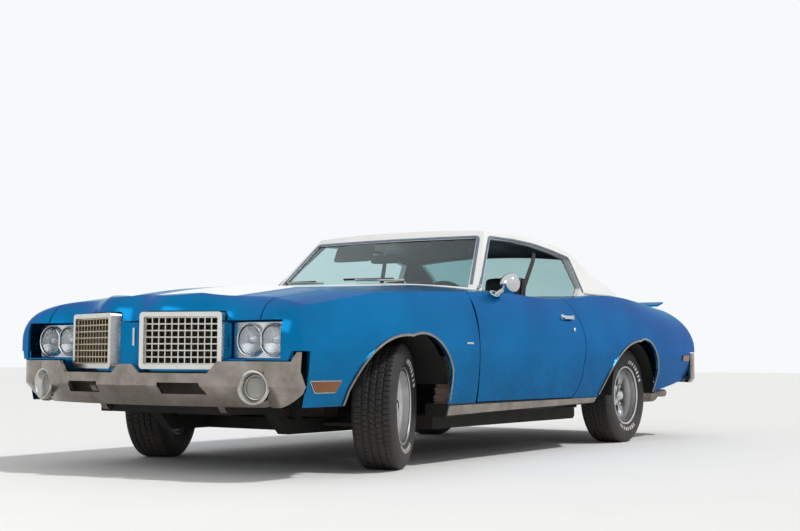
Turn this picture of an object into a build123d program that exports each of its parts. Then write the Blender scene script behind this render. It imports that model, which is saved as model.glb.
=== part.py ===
# Two-door muscle coupe of the early seventies, split at its real panels.
# Millimetres; +X is forward, +Y is the car's left, +Z is up, the tyres stand on z = 0.
import os
from math import atan2, cos, degrees, radians, sin

from build123d import *

os.makedirs("parts", exist_ok=True)

# Main sizes
wheelbase = 2845
front_axle_x = 1515
rear_axle_x = front_axle_x - wheelbase
front_track = 1516
rear_track = 1499
tyre_radius = 322
tyre_width = 226
tread_width = 190
rim_radius = 193
rim_width = 186
steer_at_rest = 22

# Body sheet and gaps
skin = 14
panel_gap = 6
seat_gap = 0.3
hinge_play = 0.3
spin_play = 0.05

# Seams between the panels
hood_half = 702
hood_rear_x = 725
cowl_half = hood_half + panel_gap - seat_gap
cowl_front_x = 704
brow_z = 735
door_front_x = 850
door_bottom_z = 330
sill_top_z = door_bottom_z - 5
cabin_half = 735
deck_front_x = -1572
deck_half = 690
deck_rear_x = -2440
lamp_bay_half = 840
front_grille_z = 497
nose_low_z = 338

# Outer surface of the lower body, one row for each station along the car
body_stations = [
    # x, sill z, sill half, widest half, widest z, shoulder half, shoulder z, crown z
    (2640, 300, 850, 915, 590, 840, 790, 830),
    (2300, 300, 885, 940, 600, 855, 845, 888),
    (1900, 300, 900, 950, 610, 868, 880, 932),
    (front_axle_x, 270, 908, 957, 620, 872, 903, 955),
    (door_front_x, 262, 905, 947, 605, 862, 935, 1000),
    (200, 268, 903, 947, 600, 836, 948, 1010),
    (-420, 280, 905, 953, 605, 826, 950, 1015),
    (-900, 290, 908, 962, 615, 815, 990, 1024),
    (rear_axle_x, 300, 910, 967, 625, 808, 998, 1022),
    (-1900, 330, 895, 957, 625, 790, 958, 985),
    (-2640, 400, 840, 905, 640, 745, 890, 915),
]
shoulder_round = 50

# Nose and tail of the lower body, one row for each distance from the centre line
body_ends = [
    # y, nose x, start of the nose roll z, tail x
    (0, 2522, 724, -2535),
    (350, 2470, 716, -2532),
    (500, 2412, 708, -2528),
    (700, 2438, 695, -2515),
    (860, 2450, 662, -2490),
    (930, 2415, 645, -2440),
    (970, 2330, 630, -2340),
]
nose_roll = 150
nose_roll_turn = 82

# Outer surface of the roof and pillars
roof_stations = [
    # x, base half, corner half, corner z, crown z, corner round
    (900, 806, 618, 1330, 1340, 38),
    (560, 806, 618, 1334, 1348, 38),
    (220, 806, 618, 1339, 1355, 38),
    (-120, 806, 618, 1344, 1363, 38),
    (-460, 806, 622, 1338, 1361, 38),
    (-700, 805, 632, 1313, 1341, 40),
    (-900, 803, 645, 1268, 1304, 40),
    (-1090, 800, 672, 1174, 1226, 40),
    (-1280, 794, 712, 1088, 1132, 32),
    (-1440, 785, 741, 1013, 1047, 23),
    (-1580, 776, 758, 950, 975, 12),
]
roof_base_z = 900
roof_wall = 30
liner_wall = 4
glass_wall = 6
glass_recess = 5

# Windshield surface, drawn between two level arcs
shield_levels = [
    # z, x at the centre, x at the pillar line, half width of the pillar line
    (930, 751, 606, 750),
    (1370, 252, 211, 590),
]

# Wheel openings
front_arch = dict(
    low_front=(2097, 200), front=(2046, 407), mid_front=(1860, 597), top=(1543, 673),
    mid_rear=(1262, 628), rear=(1154, 500), low_rear=(1154, 200),
)
rear_arch = dict(
    low_front=(-640, 230), front=(-773, 403), mid_front=(-1016, 612), top=(-1317, 690),
    mid_rear=(-1570, 632), rear=(-1640, 500), low_rear=(-1600, 200),
)

# Door hinges
door_pin_x = door_front_x + 65
door_pin_y = 906
door_hinge_heights = (500, 700)
door_edge_sweep = 76
pin_radius = 5
knuckle_radius = 10

# Steering axis
kingpin_y = 690
kingpin_radius = 10
spindle_radius = 25
kingpin_low_z = tyre_radius - 92
kingpin_high_z = tyre_radius + 108

# Grille frames, lamps and bumpers
grille_width = 420
grille_height = 268
grille_middle = (2490, 285, 641)
grille_sweep = 18
grille_border = 22
grille_columns = 11
grille_rows = 7
grille_bar = 6
headlamp_places = (606, 745)
headlamp_z = 644
headlamp_radius = 70
lamp_plate_x = 2362
parking_lamp_place = (2462, 696, 427)
parking_lamp_radius = 66
bumper_wall = 18
bumper_low_z = 335
bumper_bend_z = 430
bumper_tuck = 84

# Mounting of the rear plate
plate_hole_spacing = 177.8
plate_hole_radius = 3.5
plate_z = 655

# Underbody
floor_z = 258
sheet = 6
rail_bottom_z = 180
rail_top_z = floor_z - sheet / 2 - seat_gap
floor_top_z = floor_z + sheet / 2 + seat_gap
horn_low_z = 290
horn_top_z = 365
firewall_x = 699
rail_end_x = 2320


def block(x0, x1, y0, y1, z0, z1):
    with BuildPart() as piece:
        with Locations(((x0 + x1) / 2, (y0 + y1) / 2, (z0 + z1) / 2)):
            Box(x1 - x0, y1 - y0, z1 - z0)
    return piece.part


def slab(plane, points, start, end, rounding=0):
    with BuildPart() as piece:
        with BuildSketch(plane.offset(start)):
            with BuildLine():
                Polyline(*points, close=True)
            make_face()
            if rounding:
                fillet(vertices(), rounding)
        extrude(amount=end - start)
    return piece.part


side_plane = Plane(origin=(0, 0, 0), x_dir=(-1, 0, 0), z_dir=(0, 1, 0))


def side_slab(points, start, end, rounding=0):
    return slab(side_plane, [(-x, z) for x, z in points], start, end, rounding)


def top_slab(points, start, end, rounding=0):
    return slab(Plane.XY, points, start, end, rounding)


def front_slab(points, start, end, rounding=0):
    return slab(Plane.YZ, points, start, end, rounding)


def rod(start, end, radius, bore=0):
    along = Vector(*end) - Vector(*start)
    with BuildPart() as piece:
        with BuildSketch(Plane(origin=start, z_dir=along)):
            Circle(radius)
            if bore:
                Circle(bore, mode=Mode.SUBTRACT)
        extrude(amount=along.length)
    return piece.part


def common(*pieces):
    with BuildPart() as piece:
        add(pieces[0])
        for other in pieces[1:]:
            add(other, mode=Mode.INTERSECT)
    return piece.part


def without(base, *cutters):
    with BuildPart() as piece:
        add(base)
        for cutter in cutters:
            add(cutter, mode=Mode.SUBTRACT)
    return piece.part


def both_sides(half):
    with BuildPart() as piece:
        add(half)
        mirror(about=Plane.XZ)
    return piece.part


def body_section(row, inset, drop):
    x, sill_z, sill_half, wide_half, wide_z, shoulder_half, shoulder_z, crown_z = row
    low = (sill_half - inset, sill_z - drop)
    wide = (wide_half - inset, wide_z)
    shoulder = (shoulder_half - inset, shoulder_z - inset)
    with BuildSketch(Plane.YZ.offset(x)) as section:
        with BuildLine():
            TangentArc(wide, low, tangent=(0, -1))
            TangentArc(wide, shoulder, tangent=(0, 1))
            TangentArc((0, crown_z - inset), shoulder, tangent=(1, 0))
            Line(low, (0, low[1]))
            mirror(about=Plane.YZ)
        make_face()
        corners = [v for v in vertices() if abs(v.Z - shoulder[1]) < 0.01 and abs(v.Y) > 1]
        fillet(corners, shoulder_round - inset)
    return section.sketch


def end_section(row, side, inset):
    y, nose_x, roll_z, tail_x = row
    nose = nose_x - inset
    tail = tail_x + inset
    roll = nose_roll - inset
    turn = radians(nose_roll_turn)
    roll_mid = (nose - roll * (1 - cos(turn / 2)), roll_z + roll * sin(turn / 2))
    roll_end = (nose - roll * (1 - cos(turn)), roll_z + roll * sin(turn))
    back = (1200, roll_end[1] + (roll_end[0] - 1200) / 7)
    with BuildSketch(Plane.XZ.offset(-y * side)) as section:
        with BuildLine():
            Polyline((tail, 100), (nose, 100), (nose, roll_z))
            ThreePointArc((nose, roll_z), roll_mid, roll_end)
            Polyline(roll_end, back, (1200, 1200), (-1200, 1200), (tail + 235, 925 - inset))
            ThreePointArc((tail + 235, 925 - inset), (tail + 75, 825 - 0.7 * inset), (tail, 690))
            Line((tail, 690), (tail, 100))
        make_face()
    return section.sketch


def body_solid(inset, drop=0):
    left_to_right = [(row, -1) for row in reversed(body_ends[1:])] + [(row, 1) for row in body_ends]
    with BuildPart() as piece:
        loft(sections=[body_section(row, inset, drop) for row in body_stations])
        with BuildPart(mode=Mode.INTERSECT):
            loft(sections=[end_section(row, side, inset) for row, side in left_to_right])
    return piece.part


def roof_section(row, inset):
    x, base_half, corner_half, corner_z, crown_z, rounding = row
    corner = (corner_half - inset, corner_z - inset)
    base = (base_half - inset, roof_base_z)
    with BuildSketch(Plane.YZ.offset(x)) as section:
        with BuildLine():
            Polyline((0, roof_base_z), base, corner)
            TangentArc((0, crown_z - inset), corner, tangent=(1, 0))
            mirror(about=Plane.YZ)
        make_face()
        corners = [v for v in vertices() if abs(v.Z - corner[1]) < 0.01 and abs(v.Y) > 1]
        fillet(corners, max(rounding - inset, 6))
    return section.sketch


def shield_block(inset):
    with BuildPart() as piece:
        for z, centre_x, pillar_x, pillar_half in shield_levels:
            back_off = 1.45 * inset
            reach = 1.3
            side = (centre_x - (centre_x - pillar_x) * reach ** 2 - back_off, pillar_half * reach)
            with BuildSketch(Plane.XY.offset(z)):
                with BuildLine():
                    ThreePointArc((side[0], -side[1]), (centre_x - back_off, 0), side)
                    Polyline(side, (-1700, side[1]), (-1700, -side[1]), (side[0], -side[1]))
                make_face()
        loft()
    return piece.part


def roof_solid(inset):
    with BuildPart() as piece:
        loft(sections=[roof_section(row, inset) for row in roof_stations])
        add(shield_block(inset), mode=Mode.INTERSECT)
    return piece.part


def arch_slab(arch, start, end, grow=0):
    with BuildPart() as piece:
        with BuildSketch(side_plane.offset(start)):
            with BuildLine():
                points = {name: (-x, z) for name, (x, z) in arch.items()}
                Line(points["low_front"], points["front"])
                ThreePointArc(points["front"], points["mid_front"], points["top"])
                ThreePointArc(points["top"], points["mid_rear"], points["rear"])
                Polyline(points["rear"], points["low_rear"], points["low_front"])
            make_face()
            if grow:
                offset(amount=grow, kind=Kind.INTERSECTION)
        extrude(amount=end - start)
    return piece.part


def door_outline(grow, start, end):
    with BuildPart() as piece:
        with BuildSketch(side_plane.offset(start)):
            with BuildLine():
                Polyline((413, 940), (413, 1100), (-door_front_x, 1100), (-door_front_x, door_bottom_z),
                         (335, door_bottom_z))
                ThreePointArc((335, door_bottom_z), (405, 400), (438, 520))
                ThreePointArc((438, 520), (474, 760), (413, 940))
            make_face()
            if grow:
                offset(amount=grow, kind=Kind.INTERSECTION)
        extrude(amount=end - start)
    return piece.part


print("surfaces")
body_outer = body_solid(0)
body_shell = without(body_outer, body_solid(skin, drop=60))
roof_outer = roof_solid(0)
arches = [arch_slab(arch, -1100, 1100) for arch in (front_arch, rear_arch)]

# Sloped inner face of the doors and of the walls beside the cabin
wall_points = [(830, 200), (1100, 200), (1100, 1100), (730, 1100), (745, 950), (830, 330)]
side_wall = front_slab(wall_points, -1000, door_front_x)

# Room behind the outer ends of the front bumper
bumper_clearance = front_slab([(600, 200), (600, 550), (875, 550), (893, 593), (1000, 593), (1000, 200)], 2362, 2700)

print("fenders")
with BuildPart() as front_fenders:
    add(common(body_shell, block(600, 2700, hood_half + panel_gap, 1000, sill_top_z + seat_gap, 1100)))
    add(block(500, door_front_x + 7, 795, 1000, 200, 1100), mode=Mode.SUBTRACT)
    add(block(500, door_front_x + 7, 600, 1000, 200, 900), mode=Mode.SUBTRACT)
    add(block(2200, 2700, 0, lamp_bay_half, 200, brow_z), mode=Mode.SUBTRACT)
    add(roof_solid(-seat_gap), mode=Mode.SUBTRACT)
    add(arches[0], mode=Mode.SUBTRACT)
    add(bumper_clearance, mode=Mode.SUBTRACT)
    add(block(front_axle_x, 2700, 0, 1000, 200, nose_low_z), mode=Mode.SUBTRACT)
    mirror(about=Plane.XZ)

print("quarters")
with BuildPart() as rear_quarters:
    add(common(body_shell, block(-2700, -300, cabin_half, 1000, sill_top_z + seat_gap, 1100)))
    add(common(body_shell, block(-2700, -1480, deck_half + panel_gap, cabin_half + 1, 500, 1100)))
    add(common(body_outer, side_wall, block(-1000, -300, 700, 1000, sill_top_z + seat_gap, 1100)))
    add(door_outline(panel_gap + 0.5, 825, 1100), mode=Mode.SUBTRACT)
    add(door_outline(3 * panel_gap, 600, 825.5), mode=Mode.SUBTRACT)
    add(block(-2700, -2470, 0, 840, 200, 1100), mode=Mode.SUBTRACT)
    add(block(-2700, -2324, 0, 1000, 200, 626), mode=Mode.SUBTRACT)
    add(arches[1], mode=Mode.SUBTRACT)
    mirror(about=Plane.XZ)


print("lids and closing panels")


def grille_frame_plane(forward=0):
    turn = radians(grille_sweep)
    x, y, z = grille_middle
    origin = (x + forward * cos(turn), y + forward * sin(turn), z)
    return Plane(origin=origin, x_dir=(-sin(turn), cos(turn), 0), z_dir=(cos(turn), sin(turn), 0))


def frame_outline(grow, start, end):
    with BuildPart() as piece:
        with BuildSketch(grille_frame_plane(start)):
            RectangleRounded(grille_width + 2 * grow, grille_height + 2 * grow, 18 + grow)
        extrude(amount=end - start)
    return piece.part


frame_holes = both_sides(frame_outline(seat_gap, -90, 60))
frame_notches = both_sides(frame_outline(panel_gap, -120, 90))
hood_pin = (hood_rear_x + 200, 420, 944)
lid_pin = (deck_front_x - 100, 350, 955)
lid_rear_points = [(deck_rear_x + 12, 740), (deck_rear_x - 28, 940)]

with BuildPart() as hood:
    add(common(body_shell, block(hood_rear_x, 2700, -hood_half, hood_half, brow_z, 1100)))
    add(frame_notches, mode=Mode.SUBTRACT)
    for side in (-1, 1):
        x, y, z = hood_pin
        lug = side_slab([(x - 16, 1000), (x - knuckle_radius, z - 4), (x, z - knuckle_radius),
                         (x + knuckle_radius, z - 4), (x + 16, 1000)], side * y - 8, side * y + 8)
        add(common(lug, body_outer))
        add(rod((x, side * y - 9, z), (x, side * y + 9, z), pin_radius + hinge_play), mode=Mode.SUBTRACT)

with BuildPart() as trunk_lid:
    lid_side = [(deck_front_x, 700), (deck_front_x, 1100), (deck_rear_x - 60, 1100), *reversed(lid_rear_points)]
    add(common(body_shell, side_slab(lid_side, -deck_half, deck_half)))
    for side in (-1, 1):
        x, y, z = lid_pin
        lug = side_slab([(x - 16, 1010), (x - knuckle_radius, z - 4), (x, z - knuckle_radius),
                         (x + knuckle_radius, z - 4), (x + 16, 1010)], side * y - 8, side * y + 8)
        add(common(lug, body_outer))
        add(rod((x, side * y - 9, z), (x, side * y + 9, z), pin_radius + hinge_play), mode=Mode.SUBTRACT)

with BuildPart() as deck_panel:
    add(common(body_shell, block(deck_front_x + 16, -1480, -deck_half, deck_half, 850, 1100)))

with BuildPart() as tail_panel:
    rear_side = [(x - panel_gap, z) for x, z in lid_rear_points]
    add(common(body_shell, block(-2700, -2476, -834, 834, 440, 1100)))
    add(common(body_shell, side_slab([(-2480, 740), *rear_side, (-2480, 940)], -deck_half, deck_half)))
    for side in (-1, 1):
        y = side * plate_hole_spacing / 2
        add(rod((-2600, y, plate_z), (-2400, y, plate_z), plate_hole_radius), mode=Mode.SUBTRACT)
    for side in (-1, 1):
        y = side * 400
        add(block(-2526, -2440 - sheet / 2 - seat_gap, y - 20, y + 20, 480, 535))

with BuildPart() as header_panel:
    add(common(body_shell, block(2200, 2700, 0, lamp_bay_half - seat_gap, front_grille_z, brow_z - panel_gap)))
    add(block(2200, 2700, 492, lamp_bay_half, 556, brow_z), mode=Mode.SUBTRACT)
    add(block(lamp_plate_x - 12, lamp_plate_x, 470, lamp_bay_half - seat_gap, 549, brow_z - panel_gap))
    add(block(lamp_plate_x - 12, 2434, 470, lamp_bay_half - seat_gap, 550, 556))
    add(block(lamp_plate_x - 12, 2410, 486, 492, 546, brow_z - panel_gap))
    add(bumper_clearance, mode=Mode.SUBTRACT)
    mirror(about=Plane.XZ)
    add(frame_holes, mode=Mode.SUBTRACT)

print("roof and glass")
window_points = [(200, 1292), (-105, 1299), (-365, 1290), (-624, 1262), (-800, 1236), (-826, 1040),
                 (-660, 935), (-660, 880), (600, 880), (560, 950)]
side_windows = side_slab(window_points, -1100, -540).fuse(side_slab(window_points, 540, 1100))


def shield_opening(shrink, start, end):
    with BuildPart() as piece:
        with BuildSketch(Plane.YZ.offset(start)):
            with BuildLine():
                Polyline((-706, 976), (-594, 1290), (594, 1290), (706, 976))
                ThreePointArc((706, 976), (0, 1012), (-706, 976))
            make_face()
            offset(amount=-shrink)
        extrude(amount=end - start)
    return piece.part


def back_opening(shrink):
    with BuildPart() as piece:
        with BuildSketch(Plane.XY.offset(900)):
            Polygon((-905, -560), (-905, 560), (-1480, 640), (-1480, -640), align=None)
            offset(amount=-shrink)
        extrude(amount=600)
    return piece.part


body_seat = body_solid(-seat_gap)
glass_layer = without(roof_solid(glass_recess), roof_solid(glass_recess + glass_wall), body_seat)

with BuildPart() as roof:
    add(roof_outer)
    add(roof_solid(roof_wall), mode=Mode.SUBTRACT)
    add(body_seat, mode=Mode.SUBTRACT)
    add(side_windows, mode=Mode.SUBTRACT)
    add(shield_opening(0, 130, 1000), mode=Mode.SUBTRACT)
    add(back_opening(0), mode=Mode.SUBTRACT)

with BuildPart() as headliner:
    add(roof_solid(roof_wall + seat_gap))
    add(roof_solid(roof_wall + seat_gap + liner_wall), mode=Mode.SUBTRACT)
    add(body_solid(-6), mode=Mode.SUBTRACT)
    add(side_windows, mode=Mode.SUBTRACT)
    add(shield_opening(-20, 60, 1000), mode=Mode.SUBTRACT)
    add(back_opening(-20), mode=Mode.SUBTRACT)

with BuildPart() as windshield:
    add(common(glass_layer, shield_opening(seat_gap, 180, 1000)))

with BuildPart() as rear_window:
    add(common(glass_layer, back_opening(seat_gap)))

with BuildPart() as cowl_panel:
    add(common(body_shell, block(500, cowl_front_x, -cowl_half, cowl_half, 850, 1100)))
    add(shield_block(-seat_gap), mode=Mode.SUBTRACT)

print("doors")
with BuildPart() as door_left:
    add(common(body_outer, side_wall, door_outline(0, 600, 1100)))
    add(block(520, 900, 600, 802, 200, 1100), mode=Mode.SUBTRACT)
    add(rod((door_pin_x, door_pin_y, 200), (door_pin_x, door_pin_y, 1100), door_edge_sweep), mode=Mode.SUBTRACT)
    for z in door_hinge_heights:
        arm = top_slab([(door_front_x - 14, 832), (door_pin_x - 7, 832), (door_pin_x + 10, 850),
                        (door_pin_x + 10, door_pin_y), (door_pin_x - 10, door_pin_y),
                        (door_pin_x - 10, 856), (door_front_x - 14, 856)], z - 20, z + 20)
        add(arm)
        add(rod((door_pin_x, door_pin_y, z - 20), (door_pin_x, door_pin_y, z + 20), knuckle_radius))
        add(rod((door_pin_x, door_pin_y, z - 21), (door_pin_x, door_pin_y, z + 21),
                pin_radius + hinge_play), mode=Mode.SUBTRACT)

with BuildPart() as door_right:
    add(mirror(door_left.part, about=Plane.XZ))

with BuildPart() as handle_left:
    add(block(-405, -235, 916, 928, 816, 836))
    add(block(-400, -370, 860, 917, 812, 840))
    add(block(-275, -240, 860, 917, 812, 840))
    add(rod((-352, 860, 752), (-352, 932, 752), 10))
    add(body_seat, mode=Mode.SUBTRACT)

with BuildPart() as handle_right:
    add(mirror(handle_left.part, about=Plane.XZ))

with BuildPart() as mirror_left:
    with Locations((447, 905, 1000)):
        Sphere(60)
    add(block(300, 425, 800, 1000, 900, 1100), mode=Mode.SUBTRACT)
    add(rod((545, 850, 900), (470, 890, 985), 9))
    add(rod((500, 850, 900), (450, 890, 985), 7))
    add(common(body_solid(-7), block(480, 570, 825, 878, 900, 960)))
    add(body_seat, mode=Mode.SUBTRACT)

print("trim")
trim_layer = without(body_solid(-7), body_seat)
with BuildPart() as body_mouldings:
    sill_band = side_slab([(1148, 264), (1148, 316), (-690, 323), (-662, 291)], 800, 1000)
    add(common(trim_layer, without(sill_band, arches[1])))
    for arch in (front_arch, rear_arch):
        lip = without(arch_slab(arch, 880, 1000, grow=12), arch_slab(arch, 870, 1010))
        add(common(trim_layer, lip, block(-3000, 3000, 880, 1000, 340, 1000)))
    mirror(about=Plane.XZ)

with BuildPart() as side_markers:
    add(common(trim_layer, side_slab([(2343, 454), (2118, 454), (2151, 406), (2297, 406)], 800, 1000)))
    add(common(trim_layer, side_slab([(-2150, 560), (-2290, 560), (-2290, 600), (-2150, 600)], 800, 1000)))
    mirror(about=Plane.XZ)

with BuildPart() as rocker_sills:
    add(common(body_outer, block(-700, 1150, 780, 1000, 200, sill_top_z)))
    add(arches[1], mode=Mode.SUBTRACT)
    mirror(about=Plane.XZ)

print("front end")
with BuildPart() as grille_frames:
    with BuildSketch(grille_frame_plane(-70)):
        RectangleRounded(grille_width, grille_height, 18)
        RectangleRounded(grille_width - 2 * grille_border, grille_height - 2 * grille_border, 8,
                         mode=Mode.SUBTRACT)
    extrude(amount=105)
    mirror(about=Plane.XZ)

with BuildPart() as grilles:
    mesh_width = grille_width - 2 * grille_border - 2 * seat_gap
    mesh_height = grille_height - 2 * grille_border - 2 * seat_gap
    with BuildSketch(grille_frame_plane(-14)):
        RectangleRounded(mesh_width, mesh_height, 8)
        pitch_x = (mesh_width - grille_bar) / grille_columns
        pitch_z = (mesh_height - grille_bar) / grille_rows
        with GridLocations(pitch_x, pitch_z, grille_columns, grille_rows):
            Rectangle(pitch_x - grille_bar, pitch_z - grille_bar, mode=Mode.SUBTRACT)
    extrude(amount=32)
    mirror(about=Plane.XZ)

with BuildPart() as headlamp_bezels:
    plate_x = lamp_plate_x + seat_gap
    with BuildSketch(Plane.YZ.offset(plate_x)):
        with Locations(((headlamp_places[0] + headlamp_places[1]) / 2 - 12, headlamp_z - 1)):
            RectangleRounded(326, 164, 14)
    extrude(amount=12)
    for y in headlamp_places:
        add(rod((plate_x + 1, y, headlamp_z), (plate_x + 26, y, headlamp_z), headlamp_radius + 9))
    for y in headlamp_places:
        add(rod((plate_x - 1, y, headlamp_z), (plate_x + 30, y, headlamp_z), headlamp_radius + seat_gap),
            mode=Mode.SUBTRACT)
    mirror(about=Plane.XZ)

with BuildPart() as headlamps:
    for y in headlamp_places:
        add(rod((plate_x, y, headlamp_z), (plate_x + 22, y, headlamp_z), headlamp_radius))
    mirror(about=Plane.XZ)


# Plan of each bumper: reach at the centre, then x at fixed distances from the centre line
bumper_plans = {
    "front": dict(centre=2585, quarter=2552, side=2455, corner=2428, end=948),
    "rear": dict(centre=2575, quarter=2570, side=2552, corner=2505, end=934),
}
bumper_end_x = 2325


def bumper_plan(name, inset):
    form = bumper_plans[name]
    side = (form["side"] - inset, 740 - 0.2 * inset)
    corner = (form["corner"] - 0.8 * inset, 880 - 0.6 * inset)
    end = (bumper_end_x, form["end"] - inset)
    with BuildSketch(Plane.XY) as plan:
        with BuildLine():
            Line((2000, 0), (form["centre"] - inset, 0))
            ThreePointArc((form["centre"] - inset, 0), (form["quarter"] - inset, 370), side)
            ThreePointArc(side, corner, end)
            Polyline(end, (2000, end[1]), (2000, 0))
        make_face()
        mirror(about=Plane.XZ)
    return plan.sketch


def bumper_solid(name, inset):
    with BuildPart() as piece:
        with BuildSketch(Plane.XY.offset(bumper_bend_z)):
            add(bumper_plan(name, inset))
        extrude(amount=190)
        with BuildSketch(Plane.XY.offset(bumper_bend_z)):
            add(bumper_plan(name, inset))
        with BuildSketch(Plane.XY.offset(bumper_low_z - 10)):
            add(bumper_plan(name, inset + bumper_tuck))
        loft(ruled=True)
    return piece.part


with BuildPart() as front_bumper:
    add(bumper_solid("front", 0))
    add(bumper_solid("front", bumper_wall), mode=Mode.SUBTRACT)
    top_edge = [(0, 530), (45, 530), (92, 489), (472, 489), (522, 545), (880, 545), (900, 588), (1000, 588)]
    left_top = front_slab([(0, 700), *top_edge, (1000, 700)], 2200, 2700)
    add(both_sides(left_top), mode=Mode.SUBTRACT)
    add(block(1900, 2700, -1000, 1000, 200, bumper_low_z), mode=Mode.SUBTRACT)
    add(side_slab([(1900, 200), (2385, 200), (2385, 336), (2368, 400), (2398, 500), (2392, 620), (1900, 620)],
                  -1000, 1000), mode=Mode.SUBTRACT)
    for side in (-1, 1):
        slot = [(side * 200, 445), (side * 205, 392), (side * 455, 392), (side * 430, 445)]
        add(front_slab(slot, 2300, 2700), mode=Mode.SUBTRACT)
        x, y, z = parking_lamp_place
        add(rod((x - 120, side * y, z), (x + 80, side * y, z), parking_lamp_radius + seat_gap),
            mode=Mode.SUBTRACT)

    for side in (-1, 1):
        add(side_slab([(rail_end_x + seat_gap, 300), (rail_end_x + seat_gap, 360), (2420, 484), (2536, 484),
                       (2536, 450), (2440, 450)], side * 395 - 20, side * 395 + 20))

with BuildPart() as parking_lamps:
    x, y, z = parking_lamp_place
    add(rod((x - 40, y, z), (x + 8, y, z), parking_lamp_radius))
    mirror(about=Plane.XZ)

print("rear end")
with BuildPart() as rear_bumper:
    shell_half = without(bumper_solid("rear", 0), bumper_solid("rear", bumper_wall))
    add(shell_half.rotate(Axis.Z, 180))
    add(block(-2700, -1900, -1000, 1000, 620, 700), mode=Mode.SUBTRACT)
    add(block(-2700, -1900, -1000, 1000, 200, 400), mode=Mode.SUBTRACT)
    add(block(-2330, -1900, -1000, 1000, 200, 700), mode=Mode.SUBTRACT)
    for side in (-1, 1):
        y = side * 525
        add(block(-2560, -2400 - seat_gap, y - 25, y + 25, 405, 435))

with BuildPart() as tail_lamps:
    add(common(without(body_solid(-10), body_seat), block(-2700, -2480, 560, 800, 626, 686)))
    mirror(about=Plane.XZ)

with BuildPart() as spoiler:
    add(side_slab([(-2396, 978), (-2412, 996), (-2532, 1020), (-2530, 1008), (-2420, 980)], -640, 640))
    for y in (-500, 500):
        add(side_slab([(-2398, 860), (-2398, 984), (-2428, 984), (-2436, 860)], y - 16, y + 16))
    add(body_seat, mode=Mode.SUBTRACT)

print("cabin")
floor_half = 779.7
boot_half = 621.7
post_half = 792
toe_x = 842
kick_x = -690
boot_floor_z = 470
shelf_z = 925
with BuildPart() as floor_pan:
    for points, half in (
        ([(firewall_x, shelf_z), (firewall_x, 700), (toe_x, 560), (toe_x, floor_z), (kick_x, floor_z),
          (kick_x, boot_floor_z)], floor_half),
        ([(kick_x, boot_floor_z), (-1060, boot_floor_z), (-1240, shelf_z), (-1477, shelf_z), (-1477, 830)], boot_half),
        ([(-1060, boot_floor_z), (-2440, boot_floor_z), (-2440, 540)], boot_half),
    ):
        with BuildSketch(side_plane.offset(-half)):
            with BuildLine():
                Polyline(*[(-x, z) for x, z in points])
            trace(line_width=sheet)
        extrude(amount=2 * half)
    with BuildSketch(Plane.YZ.offset(-688)):
        with BuildLine():
            Polyline((-165, floor_z), (-125, 400), (125, 400), (165, floor_z))
        trace(line_width=sheet)
    extrude(amount=688 + 840)
    for side in (-1, 1):
        add(block(704, 845, *sorted((side * 760, side * floor_half)), floor_z, shelf_z))
        add(block(704, 845, *sorted((side * 770, side * post_half)), sill_top_z + seat_gap, shelf_z))

with BuildPart() as wheelhouses:
    for axle_x, radius, inner, low, posts in (
        (front_axle_x, 400, 452, 470, (1190, 1800)),
        (rear_axle_x, 362, 622, 372, ()),
    ):
        ring = rod((axle_x, inner, tyre_radius), (axle_x, 905, tyre_radius), radius + 4, radius)
        wall = rod((axle_x, inner, tyre_radius), (axle_x, inner + 6, tyre_radius), radius + 2)
        add(common(ring, block(-3000, 3000, 0, 1000, low - 42, 900)))
        add(common(wall, block(-3000, 3000, 0, 1000, low, 900)))
        for x in posts:
            add(block(x, x + 40, 405, inner + 4, rail_top_z + seat_gap, low + 50))
    mirror(about=Plane.XZ)

with BuildPart() as dashboard:
    dash_x = firewall_x - sheet / 2 - seat_gap
    add(side_slab([(dash_x, 705), (dash_x, 880), (630, 930), (430, 930), (400, 900), (400, 780), (470, 705)],
                  -730, 730))
    add(rod((690, 370, 668), (225, 370, 856), 25 + seat_gap), mode=Mode.SUBTRACT)

column_turn = radians(22)
column_dir = (-cos(column_turn), 0, sin(column_turn))
wheel_centre = (240, 370, 850)


def on_column(distance):
    return tuple(c + distance * d for c, d in zip(wheel_centre, column_dir))


with BuildPart() as steering_column:
    add(rod(on_column(-470), on_column(-32), 25))
    add(rod(on_column(-40), on_column(20), kingpin_radius))
with BuildPart() as steering_wheel:
    wheel_plane = Plane(origin=wheel_centre, x_dir=(0, 1, 0), z_dir=column_dir)
    with Locations(wheel_plane):
        Torus(188, 12)
        for turn in (90, 210, 330):
            with Locations(Rotation(0, 0, turn) * Location((100, 0, -6))):
                Box(180, 26, 10)
    add(rod(on_column(-30), on_column(24), 34))
    add(rod(on_column(-31), on_column(20.3), kingpin_radius + spin_play), mode=Mode.SUBTRACT)

with BuildPart() as front_seats:
    add(side_slab([(190, floor_top_z), (190, 420), (140, 470), (-300, 440), (-330, floor_top_z)], 175, 640, 20))
    add(side_slab([(-262, 430), (-300, 700), (-380, 960), (-480, 970), (-430, 650), (-380, 400)], 185, 630, 20))
    mirror(about=Plane.XZ)

with BuildPart() as rear_seat:
    add(side_slab([(-700, 473 + seat_gap), (-700, 560), (-1040, 530), (-1050, 473 + seat_gap)], -600, 600))
    add(side_slab([(-990, 520), (-1120, 915), (-1225, 915), (-1066, 520)], -600, 600))

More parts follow.
